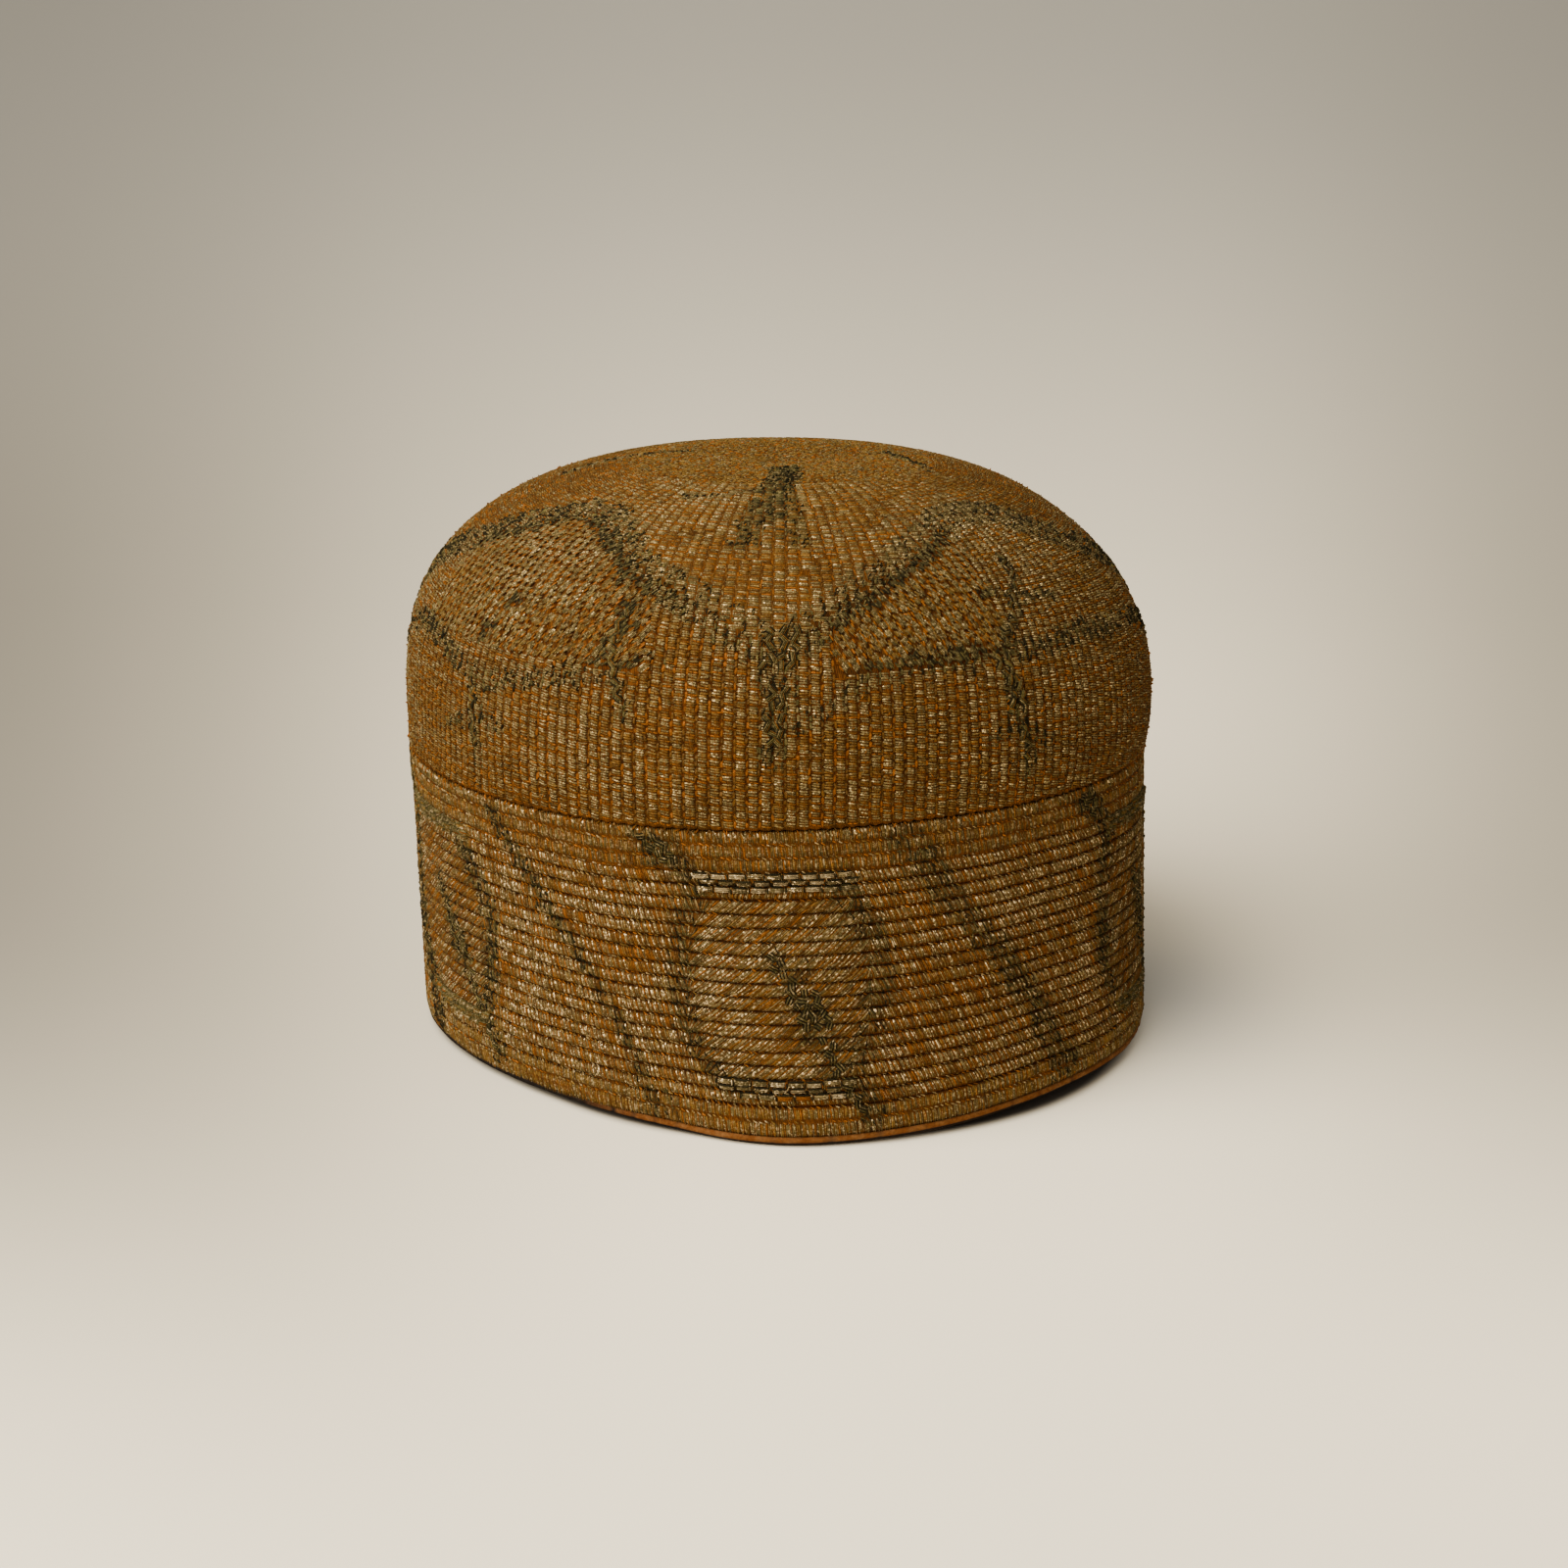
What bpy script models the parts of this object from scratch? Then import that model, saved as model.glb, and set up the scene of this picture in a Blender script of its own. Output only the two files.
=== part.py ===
"""A kolla hat: a tall corded band, a domed quilted crown and a cloth binding round the lower edge.

The hat stands on its rim. Its front looks along -Y, +X is to the right, and +Z is up.
The origin is the middle of the hat's footprint, on the surface that it stands on.
Angles round the head are measured from the front, positive towards +X.
"""

import math

import bpy

# Heights, in metres
HAT_HEIGHT = 0.1425
WIDEST_HEIGHT = 0.0830
SEAM_HEIGHT = 0.0730

# Reference radius of the turned forms, before they take the plan of the worn hat
RADIUS = 0.0900

# Cloth: padded walls, the space between pieces, and the folded binding
BAND_WALL = 0.0028
CROWN_WALL = 0.0026
PIECE_GAP = 0.0003
BINDING_CLOTH = 0.0009
BINDING_OUTER_LEG = 0.0026
BINDING_INNER_LEG = 0.0060

# Corded rows round the band
CORD_ROWS = 22
CORD_RELIEF = 0.0006
CORD_STEPS = ((0.00, 0.0), (0.25, 0.8), (0.62, 1.0))

# Dome: the power of its superellipse, the sunken top, and the lean of its top to the front
DOME_POWER = 2.55
DOME_RINGS = 13
SUNKEN_DEPTH = 0.0018
SUNKEN_RADIUS = 0.0240
APEX_LEAN = 0.0130

# The right shoulder of the dome has dropped: how far, at what angle in degrees, and how high up it
# is most. The share of the drop is rise**3 * (1 - rise), which is largest three quarters of the way up.
SHOULDER_DROP = 0.0032
SHOULDER_ANGLE = 100.0
SHOULDER_PEAK = 0.75**3 * 0.25

# Rolled edges on both sides of the seam
EDGE_TUCK = 0.0010
CROWN_OVERHANG = 0.0007
ROLL_HEIGHT = 0.0026

TURN_STEPS = 48
MERGE = 0.00001
MILLIMETRE = 0.001

# The plan is not a true circle: the left of the front is flattened, the rim comes to a soft corner
# at the middle of the front, and the crown bulges over the flattened side. On both sides of that
# corner the rim has curled up a little, so it stands off the surface there.
# Columns: angle in degrees, the radius in millimetres at the rim, at the seam and at the dome, and
# how many millimetres the rim is lifted
PLAN = (
    (-180, 91.0, 91.0, 92.0, 0.0),
    (-150, 91.0, 91.0, 92.5, 0.0),
    (-120, 91.0, 90.5, 91.5, 0.0),
    (-90, 89.0, 90.0, 91.0, 0.2),
    (-65, 85.0, 91.0, 90.5, 0.8),
    (-40, 83.5, 91.5, 92.5, 0.9),
    (-20, 86.0, 92.5, 93.5, 0.4),
    (0, 92.5, 91.0, 92.0, 0.0),
    (20, 93.0, 88.0, 89.0, 1.0),
    (45, 92.5, 88.0, 89.5, 2.8),
    (70, 92.0, 89.5, 91.5, 1.8),
    (90, 91.5, 89.0, 89.5, 0.5),
    (120, 91.0, 90.0, 89.5, 0.0),
    (150, 91.0, 91.0, 92.0, 0.0),
)
RIM, SEAM, DOME, LIFT = 1, 2, 3, 4


def plan_value(angle, column):
    """Value in metres at an angle, on a smooth closed curve through one column of PLAN."""
    degrees = (math.degrees(angle) + 180.0) % 360.0 - 180.0
    count = len(PLAN)
    after = next((i for i, row in enumerate(PLAN) if row[0] > degrees), count)
    turns_and_rows = [divmod(after + k, count) for k in (-2, -1, 0, 1)]
    places = [PLAN[row][0] + 360.0 * turn for turn, row in turns_and_rows]
    values = [PLAN[row][column] for _, row in turns_and_rows]
    span = places[2] - places[1]
    t = (degrees - places[1]) / span
    slope_1 = (values[2] - values[0]) / (places[2] - places[0]) * span
    slope_2 = (values[3] - values[1]) / (places[3] - places[1]) * span
    value = (2 * t**3 - 3 * t**2 + 1) * values[1] + (t**3 - 2 * t**2 + t) * slope_1
    value += (3 * t**2 - 2 * t**3) * values[2] + (t**3 - t**2) * slope_2
    return value * MILLIMETRE


def plan_at(angle, height):
    """Outer radius of the plain hat at an angle and height, without cords or rolled edges."""
    if height <= SEAM_HEIGHT:
        share = max(height, 0.0) / SEAM_HEIGHT
        return (1 - share) * plan_value(angle, RIM) + share * plan_value(angle, SEAM)
    share = min((height - SEAM_HEIGHT) / (WIDEST_HEIGHT - SEAM_HEIGHT), 1.0)
    ease = math.sin(share * math.pi / 2)
    return (1 - ease) * plan_value(angle, SEAM) + ease * plan_value(angle, DOME)


def footprint_centre():
    """Middle of the hat's outline seen from above, which becomes the origin."""
    outline = []
    for step in range(TURN_STEPS):
        angle = 2 * math.pi * step / TURN_STEPS
        for height in (0.0, SEAM_HEIGHT, WIDEST_HEIGHT):
            radius = plan_at(angle, height)
            outline.append((radius * math.sin(angle), -radius * math.cos(angle)))
    xs, ys = zip(*outline)
    return (min(xs) + max(xs)) / 2, (min(ys) + max(ys)) / 2


def take_worn_shape(mesh, centre):
    """Moves a turned form's points from the true circle to the plan of the worn hat."""
    for vertex in mesh.vertices:
        x, y, z = vertex.co
        share = math.hypot(x, y) / RADIUS
        angle = math.atan2(x, -y)
        rise = min(max((z - WIDEST_HEIGHT) / (HAT_HEIGHT - WIDEST_HEIGHT), 0.0), 1.0)
        facing = max(math.cos(angle - math.radians(SHOULDER_ANGLE)), 0.0)
        drop = SHOULDER_DROP * facing**2 * rise**3 * (1 - rise) / SHOULDER_PEAK
        radius = share * (plan_at(angle, z) - drop)
        lifted = max(plan_value(angle, LIFT), 0.0) * max(1 - z / SEAM_HEIGHT, 0.0)
        lean = APEX_LEAN * rise * (1 - min(share, 1.0))
        sunken = SUNKEN_DEPTH * rise * math.exp(-((share * RADIUS / SUNKEN_RADIUS) ** 2))
        vertex.co = (
            radius * math.sin(angle) - centre[0],
            -radius * math.cos(angle) - lean - centre[1],
            z - sunken + lifted,
        )


def cloth(name, colour, roughness, metallic=0.0):
    """A plain material for one piece."""
    material = bpy.data.materials.new(name)
    material.use_nodes = True
    shader = material.node_tree.nodes["Principled BSDF"]
    shader.inputs["Base Color"].default_value = (*colour, 1.0)
    shader.inputs["Roughness"].default_value = roughness
    shader.inputs["Metallic"].default_value = metallic
    return material


def turned_piece(name, profile, closed, material, collection, centre):
    """Turns a profile round Z and gives it the hat's plan. The profile runs down its outer side."""
    points = [(x, 0.0, z) for x, z in profile]
    edges = [(i, i + 1) for i in range(len(points) - 1)]
    if closed:
        edges.append((len(points) - 1, 0))
    mesh = bpy.data.meshes.new(name + "_profile")
    mesh.from_pydata(points, edges, [])
    guide = bpy.data.objects.new(name + "_profile", mesh)
    collection.objects.link(guide)
    screw = guide.modifiers.new("turn", "SCREW")
    screw.axis = "Z"
    screw.steps = TURN_STEPS
    screw.render_steps = TURN_STEPS
    screw.use_merge_vertices = True
    screw.merge_threshold = MERGE

    seen = guide.evaluated_get(bpy.context.evaluated_depsgraph_get())
    turned = bpy.data.meshes.new_from_object(seen)
    turned.name = name
    bpy.data.objects.remove(guide)
    take_worn_shape(turned, centre)
    turned.materials.append(material)
    turned.shade_smooth()
    turned.set_sharp_from_angle(angle=math.radians(60))
    piece = bpy.data.objects.new(name, turned)
    collection.objects.link(piece)
    return piece


def band_profile():
    """Tall wall: corded rows outside, plain inside, thinner at the lower edge where it is bound."""
    low = BINDING_CLOTH + PIECE_GAP
    bound_top = BINDING_OUTER_LEG + PIECE_GAP
    top = SEAM_HEIGHT - PIECE_GAP
    bound_radius = RADIUS - BINDING_CLOTH - PIECE_GAP
    inner = RADIUS - BAND_WALL
    pitch = (top - bound_top) / CORD_ROWS

    outside = []
    for row in range(CORD_ROWS):
        for part, relief in CORD_STEPS:
            height = top - (row + part) * pitch
            outside.append((RADIUS - CORD_RELIEF * (1 - relief), height))
    outside[0] = (RADIUS - EDGE_TUCK, top)
    outside.append((RADIUS - CORD_RELIEF, bound_top))
    bound_edge = [(bound_radius, bound_top), (bound_radius, low)]
    inside = [(inner, low), (inner, SEAM_HEIGHT / 3), (inner, 2 * SEAM_HEIGHT / 3), (inner, top)]
    return outside + bound_edge + inside


def dome_line(radius, height):
    """Points of the dome from the middle of the top to the widest height."""
    rise = height - WIDEST_HEIGHT
    line = []
    for ring in range(DOME_RINGS + 1):
        turn = math.pi / 2 * (1 - ring / DOME_RINGS)
        across = 0.0 if ring == 0 else radius * math.cos(turn) ** (2 / DOME_POWER)
        up = 0.0 if ring == DOME_RINGS else rise * math.sin(turn) ** (2 / DOME_POWER)
        line.append((across, WIDEST_HEIGHT + up))
    return line


def crown_profile():
    """Hollow dome whose lower edge rolls out a little over the seam."""
    outside = dome_line(RADIUS, HAT_HEIGHT)
    outside += [
        (RADIUS + CROWN_OVERHANG, SEAM_HEIGHT + ROLL_HEIGHT),
        (RADIUS + CROWN_OVERHANG / 2, SEAM_HEIGHT + ROLL_HEIGHT / 3),
        (RADIUS - EDGE_TUCK, SEAM_HEIGHT),
    ]
    inner = RADIUS - CROWN_WALL
    inside = [(inner, SEAM_HEIGHT)] + dome_line(inner, HAT_HEIGHT - CROWN_WALL)[::-1]
    return outside + inside


def binding_profile():
    """Strip of cloth folded round the lower edge: two legs and a flat sole."""
    outer = RADIUS
    bound_radius = RADIUS - BINDING_CLOTH
    inner_leg_outside = RADIUS - BAND_WALL - PIECE_GAP
    inner = inner_leg_outside - BINDING_CLOTH
    return [
        (bound_radius, BINDING_OUTER_LEG),
        (outer, BINDING_OUTER_LEG - BINDING_CLOTH / 2),
        (outer, BINDING_CLOTH),
        (outer - BINDING_CLOTH / 2, 0.0),
        (inner + BINDING_CLOTH / 2, 0.0),
        (inner, BINDING_CLOTH),
        (inner, BINDING_INNER_LEG),
        (inner_leg_outside, BINDING_INNER_LEG),
        (inner_leg_outside, BINDING_CLOTH),
        (bound_radius, BINDING_CLOTH),
    ]


def main():
    for thing in list(bpy.data.objects):
        bpy.data.objects.remove(thing)
    collection = bpy.data.collections.new("kolla_hat")
    bpy.context.scene.collection.children.link(collection)
    centre = footprint_centre()

    band_cloth = cloth("band_cloth", (0.26, 0.15, 0.05), 0.62, 0.25)
    crown_cloth = cloth("crown_cloth", (0.27, 0.14, 0.04), 0.70, 0.15)
    binding_cloth = cloth("binding_cloth", (0.30, 0.10, 0.03), 0.85)

    turned_piece("band", band_profile(), True, band_cloth, collection, centre)
    turned_piece("crown", crown_profile(), False, crown_cloth, collection, centre)
    turned_piece("rim_binding", binding_profile(), True, binding_cloth, collection, centre)


main()
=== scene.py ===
# %% [markdown]
# # A kolla hat
# A kolla is a round cap without a brim. A tall band goes straight up, and a domed crown closes it.
# Both are padded cloth, quilted so tightly that cords stand up on the surface: they lie level round
# the band and run up the crown as ribs. Silk and tarnished silver-gilt thread covers every cord.
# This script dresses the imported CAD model: it makes the padded shells, the threads on them, the
# couched ornament and the worn binding of the rim, and then lights them.

import math

import bpy
import numpy as np
from mathutils import Matrix


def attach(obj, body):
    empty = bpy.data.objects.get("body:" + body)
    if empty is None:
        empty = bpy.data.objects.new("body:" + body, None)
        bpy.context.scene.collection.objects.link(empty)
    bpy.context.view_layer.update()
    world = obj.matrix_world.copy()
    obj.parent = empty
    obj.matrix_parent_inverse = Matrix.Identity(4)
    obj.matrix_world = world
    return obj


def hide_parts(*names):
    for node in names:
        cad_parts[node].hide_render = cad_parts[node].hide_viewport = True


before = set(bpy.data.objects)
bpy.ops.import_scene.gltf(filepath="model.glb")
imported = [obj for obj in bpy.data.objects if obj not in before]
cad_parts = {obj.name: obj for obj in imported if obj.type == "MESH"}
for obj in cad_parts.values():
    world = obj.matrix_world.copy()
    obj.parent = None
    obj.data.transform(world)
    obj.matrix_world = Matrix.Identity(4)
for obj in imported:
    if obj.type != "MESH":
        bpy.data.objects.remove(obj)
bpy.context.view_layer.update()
MM = 0.001
SEED = 71

# %% [markdown]
# ## The camera
# The hat was seen from a little above, so its rim shows as a shallow curve. A camera is found from
# its distance, the angle that it looks down at, and its focal length in pixels of the picture. Its
# roll and shift are tiny, and only as large as the framing needs.

# %% The camera
PICTURE = 1600
SENSOR = 36.0
FOCAL_PIXELS = 2777.8
AIM = Matrix.Translation((-0.25 * MM, -3.75 * MM, 59.3 * MM))
DISTANCE = 672.6 * MM
LOOKS_DOWN = math.radians(15.5)
ROLL = math.radians(0.2)
LEFT_OF_MIDDLE = 5
NEAR_CLIP = 0.01

bpy.ops.object.camera_add()
camera = bpy.context.object
camera.name = "camera"
camera.data.sensor_width = SENSOR
camera.data.lens = SENSOR * FOCAL_PIXELS / PICTURE
camera.data.shift_x = LEFT_OF_MIDDLE / PICTURE
camera.data.clip_start = NEAR_CLIP
turned = Matrix.Rotation(math.pi / 2 - LOOKS_DOWN, 4, "X") @ Matrix.Rotation(ROLL, 4, "Z")
camera.matrix_world = AIM @ turned @ Matrix.Translation((0, 0, DISTANCE))
bpy.context.scene.camera = camera
print("lens", round(camera.data.lens, 1), "mm")

# %% [markdown]
# ## The form of the worn hat
# A new hat would be a body of revolution. This one has been worn and stored: its plan is not a true
# circle, the rim has curled up on both sides of the front, the top leans forward and has sunk, and
# the right shoulder has dropped. The values are those of the CAD source, so that the threads lie on
# the solids. Every point on the hat is named by an angle from the front and by a way up the wall.

# %% Sizes and the plan of the worn hat, in millimetres
HAT_HEIGHT, WIDEST, SEAM = 142.5, 83.0, 73.0
RADIUS = 90.0
BAND_WALL, CROWN_WALL = 2.8, 2.6
DOME_POWER = 2.55
SUNKEN, SUNKEN_RADIUS = 1.8, 24.0
APEX_LEAN = 13.0
SHOULDER_DROP, SHOULDER_ANGLE = 3.2, 100.0
# Greatest value of rise ** 3 * (1 - rise), at three quarters of the rise
SHOULDER_PEAK = 0.75**3 * 0.25

# Columns: angle in degrees, radius at the rim, at the seam and at the dome, and lift of the rim
PLAN = np.array((
    (-180, 91.0, 91.0, 92.0, 0.0),
    (-150, 91.0, 91.0, 92.5, 0.0),
    (-120, 91.0, 90.5, 91.5, 0.0),
    (-90, 89.0, 90.0, 91.0, 0.2),
    (-65, 85.0, 91.0, 90.5, 0.8),
    (-40, 83.5, 91.5, 92.5, 0.9),
    (-20, 86.0, 92.5, 93.5, 0.4),
    (0, 92.5, 91.0, 92.0, 0.0),
    (20, 93.0, 88.0, 89.0, 1.0),
    (45, 92.5, 88.0, 89.5, 2.8),
    (70, 92.0, 89.5, 91.5, 1.8),
    (90, 91.5, 89.0, 89.5, 0.5),
    (120, 91.0, 90.0, 89.5, 0.0),
    (150, 91.0, 91.0, 92.0, 0.0),
))
RIM_COLUMN, SEAM_COLUMN, DOME_COLUMN, LIFT_COLUMN = 1, 2, 3, 4
CENTRE = np.array((0.25, -0.25))


def plan_value(angle, column):
    """A column of the plan at any angle in radians, on a smooth closed curve."""
    degrees = (np.degrees(angle) + 180.0) % 360.0 - 180.0
    before, after = PLAN[-2:], PLAN[:3]
    places = np.concatenate((before[:, 0] - 360, PLAN[:, 0], after[:, 0] + 360))
    values = np.concatenate((before[:, column], PLAN[:, column], after[:, column]))
    low = np.clip(np.searchsorted(places, degrees, side="right") - 1, 1, len(places) - 3)
    span = places[low + 1] - places[low]
    t = (degrees - places[low]) / span
    slope_1 = (values[low + 1] - values[low - 1]) / (places[low + 1] - places[low - 1]) * span
    slope_2 = (values[low + 2] - values[low]) / (places[low + 2] - places[low]) * span
    start = (2 * t**3 - 3 * t**2 + 1) * values[low] + (t**3 - 2 * t**2 + t) * slope_1
    return start + (3 * t**2 - 2 * t**3) * values[low + 1] + (t**3 - t**2) * slope_2


def plan_at(angle, height):
    """Outer radius of the plain hat at an angle and height."""
    share = np.clip(height / SEAM, 0, 1)
    below = (1 - share) * plan_value(angle, RIM_COLUMN) + share * plan_value(angle, SEAM_COLUMN)
    ease = np.sin(np.clip((height - SEAM) / (WIDEST - SEAM), 0, 1) * math.pi / 2)
    above = (1 - ease) * plan_value(angle, SEAM_COLUMN) + ease * plan_value(angle, DOME_COLUMN)
    return np.where(height <= SEAM, below, above)


def worn(angle, share, height):
    """Point of the hat at an angle, a share of the full radius and a height, in millimetres."""
    angle, share, height = np.broadcast_arrays(angle, share, height)
    rise = np.clip((height - WIDEST) / (HAT_HEIGHT - WIDEST), 0, 1)
    facing = np.clip(np.cos(angle - math.radians(SHOULDER_ANGLE)), 0, 1)
    drop = SHOULDER_DROP * facing**2 * rise**3 * (1 - rise) / SHOULDER_PEAK
    radius = share * (plan_at(angle, height) - drop)
    lean = APEX_LEAN * rise * (1 - np.minimum(share, 1))
    sunken = SUNKEN * rise * np.exp(-((share * RADIUS / SUNKEN_RADIUS) ** 2))
    lifted = np.maximum(plan_value(angle, LIFT_COLUMN), 0) * np.clip(1 - height / SEAM, 0, 1)
    return np.stack((
        radius * np.sin(angle) - CENTRE[0],
        -radius * np.cos(angle) - lean - CENTRE[1],
        height - sunken + lifted,
    ), -1)


# %% [markdown]
# ## Measuring along the cloth
# Whoever quilts the crown measures along the cloth, not straight up. So the line of the dome is
# walked once in small steps, and the distance walked gives each height and radius. A rounded square
# curve, with a power a little over 2, gives the full shoulder and the flat top.

# %% The line of the dome, measured along the cloth from the seam to the middle of the top
straight = np.linspace(SEAM, WIDEST, 20)
turn = np.linspace(0, 1, 400)[1:] * math.pi / 2
dome_height = WIDEST + (HAT_HEIGHT - WIDEST) * np.sin(turn) ** (2 / DOME_POWER)
LINE_HEIGHT = np.concatenate((straight, dome_height))
LINE_SHARE = np.concatenate((np.ones(20), np.clip(np.cos(turn), 0, 1) ** (2 / DOME_POWER)))
steps = np.hypot(np.diff(LINE_HEIGHT), RADIUS * np.diff(LINE_SHARE))
LINE_WAY = np.concatenate(((0.0,), np.cumsum(steps)))
CROWN_LENGTH = LINE_WAY[-1]


def crown_share(way):
    """Share of the full radius at a way up the crown."""
    return np.interp(way, LINE_WAY, LINE_SHARE)


def crown_form(angle, way):
    """Point of the plain crown."""
    return worn(angle, np.maximum(crown_share(way), 1e-4), np.interp(way, LINE_WAY, LINE_HEIGHT))


def band_form(angle, height):
    """Point of the plain band."""
    return worn(angle, 1.0, height)


# Small steps for finding directions, and how near to the pole they may come
SMALL_ANGLE, SMALL_WAY = 0.004, 0.15
LOW_GAP, HIGH_GAP = 0.4, 0.02


def with_normals(form, angle, way):
    """Points of a form and the directions that face out of it."""
    low, high = np.asarray(way) - SMALL_WAY, np.asarray(way) + SMALL_WAY
    if form is crown_form:
        low = np.minimum(low, CROWN_LENGTH - LOW_GAP)
        high = np.minimum(high, CROWN_LENGTH - HIGH_GAP)
    middle = (low + high) / 2
    round_the_head = form(angle + SMALL_ANGLE, middle) - form(angle - SMALL_ANGLE, middle)
    up = form(angle, high) - form(angle, low)
    out = np.cross(round_the_head, up)
    return form(angle, way), out / np.linalg.norm(out, axis=-1, keepdims=True)


print("cloth from seam to top:", round(float(CROWN_LENGTH), 1), "mm")

# %% [markdown]
# ## Cords and ribs
# Cords lie under the cloth of the band, one beside the other, and the same quilting runs up the
# crown. A cord is a rounded ridge with a sharp groove on each side. The rows were sewn by hand, so
# they wander a little. Higher up, where the dome narrows, every so many ribs ends and the rest go on.

# %% Relief of the cords and ribs
CORD_ROWS = 22
BAND_TOP, CORDS_END = 72.7, 2.9
CORD_PITCH = (BAND_TOP - CORDS_END) / CORD_ROWS
CORD_DEPTH, CORD_CREST, CORD_ROUNDNESS = 0.88, 0.10, 0.6
# The rows at both edges of the band are flatter, and straighten out over this height
FLAT_TOP_ROWS, FLAT_LOW_ROWS, FLAT_SHARE = 3, 2, 0.35
STRAIGHTENING = 6.0
RIB_DEPTH, RIB_CREST, RIB_ROUNDNESS = 0.60, 0.10, 0.7

LOW_RIBS = 212
# Zones of the ribs above the scroll: way up the crown where each starts, and its number of ribs
UPPER_RIBS = ((0.0, 180), (64.0, 150), (84.0, 112))
UPPER_SHARE, FADE_LENGTH = 0.38, 35
STIPPLED_TOP = 98.0
SEAM_OVERHANG, OVERHANG_LENGTH = 0.45, 5.0

# The scroll on the crown divides the low ribs from the upper ones.
# Columns: angle from a low point of the scroll in degrees, and way up in millimetres
SCROLL = np.array((
    (-45, 75.0), (-40, 74.4), (-35, 71.4), (-30, 65.6), (-25, 60.0), (-20, 56.0), (-15, 52.4),
    (-10, 48.0), (-5, 43.4), (0, 39.0), (4, 43.7), (8, 48.1), (12.5, 52.6), (17.5, 56.2),
    (23.5, 61.1), (30, 66.9), (36.5, 72.0), (41, 74.4), (45, 75.0),
))


def row_wander(angle):
    """How far the rows of the band lie above or below level, in millimetres."""
    return 0.28 * np.sin(3 * angle + 0.8) + 0.17 * np.sin(8 * angle + 2.1) + 0.09 * np.sin(19 * angle)


def row_shift(angle, height):
    """The wander of the rows, which fades out towards both edges of the band."""
    from_seam = np.clip((BAND_TOP - height) / STRAIGHTENING, 0, 1)
    return row_wander(angle) * (from_seam * np.clip((height - CORDS_END) / STRAIGHTENING, 0, 1))


def row_place(angle, height):
    """Row number as a running value: a whole number is a groove, a half is a crest."""
    return (BAND_TOP + row_shift(angle, height) - height) / CORD_PITCH


def cord_relief(angle, height):
    """Height of the band's surface over the plain wall, in millimetres."""
    place = row_place(angle, height)
    ridge = np.abs(np.sin(math.pi * place)) ** CORD_ROUNDNESS
    flat = (place < FLAT_TOP_ROWS) | (place > CORD_ROWS - FLAT_LOW_ROWS)
    depth = np.where(flat, FLAT_SHARE * CORD_DEPTH, CORD_DEPTH)
    inside = (place > 0) & (place < CORD_ROWS)
    return np.where(inside, CORD_CREST - depth * (1 - ridge), CORD_CREST - depth)


def fold_angle(angle, period=90.0):
    """Angle in degrees from the nearest low point of the scroll, or of anything with that period."""
    return (np.degrees(angle) + period / 2) % period - period / 2


def scroll_way(angle):
    """Way up the crown of the middle of the scroll."""
    return np.interp(fold_angle(angle), SCROLL[:, 0], SCROLL[:, 1])


def border_wander(angle):
    """How far the places where ribs end lie above or below their mean, in millimetres."""
    return 5.0 * np.sin(5 * angle + 0.4) + 3.0 * np.sin(13 * angle + 2.0) + 2.0 * np.sin(31 * angle)


def rib_count(angle, way):
    """Number of ribs round the crown at each point."""
    count = np.full(np.shape(way), UPPER_RIBS[0][1])
    for start, ribs in UPPER_RIBS[1:]:
        count = np.where(way + border_wander(angle) > start, ribs, count)
    return np.where(way > scroll_way(angle), count, LOW_RIBS)


def rib_relief(angle, way):
    """Height of the crown's surface over the plain dome, in millimetres."""
    ridge = np.abs(np.cos(rib_count(angle, way) * angle / 2)) ** RIB_ROUNDNESS
    upper_depth = UPPER_SHARE * np.clip((STIPPLED_TOP - way) / FADE_LENGTH, 0, 1)
    depth = np.where(way > scroll_way(angle), upper_depth, 1.0) * RIB_DEPTH
    overhang = SEAM_OVERHANG * np.clip(1 - way / OVERHANG_LENGTH, 0, 1)
    return RIB_CREST - depth * (1 - ridge) + overhang


def band_surface(angle, height):
    """Points and outward directions of the corded band."""
    point, out = with_normals(band_form, angle, height)
    return point + out * cord_relief(angle, height)[..., None], out


def crown_surface(angle, way):
    """Points and outward directions of the ribbed crown."""
    point, out = with_normals(crown_form, angle, way)
    return point + out * rib_relief(angle, way)[..., None], out


rib_pitch = 2 * math.pi * RADIUS / LOW_RIBS
print("cord pitch", round(CORD_PITCH, 2), "mm, rib pitch", round(rib_pitch, 2), "mm")

# %% [markdown]
# ## A short way to write shaders
# A node graph is easier to read as sums. `Graph` adds any node in one call, and `Wire` is the end of
# a wire: adding or multiplying wires adds the Math nodes that do it.

# %% Wires and graphs
NOISE_ROUGHNESS = 0.55
CLOTH_SPECULAR = 0.04
BUMP_STRENGTH, BUMP_DEPTH = 0.6, 0.0002


class Wire:
    """An output of a node, used in Python sums."""

    def __init__(self, graph, socket):
        self.graph = graph
        self.socket = socket

    def sum_with(self, operation, other, swapped=False):
        pair = [self, other]
        if swapped:
            pair.reverse()
        return self.graph.maths(operation, *pair)

    def __add__(self, other):
        return self.sum_with("ADD", other)

    def __sub__(self, other):
        return self.sum_with("SUBTRACT", other)

    def __rsub__(self, other):
        return self.sum_with("SUBTRACT", other, swapped=True)

    def __mul__(self, other):
        return self.sum_with("MULTIPLY", other)

    def __truediv__(self, other):
        return self.sum_with("DIVIDE", other)

    def __pow__(self, other):
        return self.sum_with("POWER", other)


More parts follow.
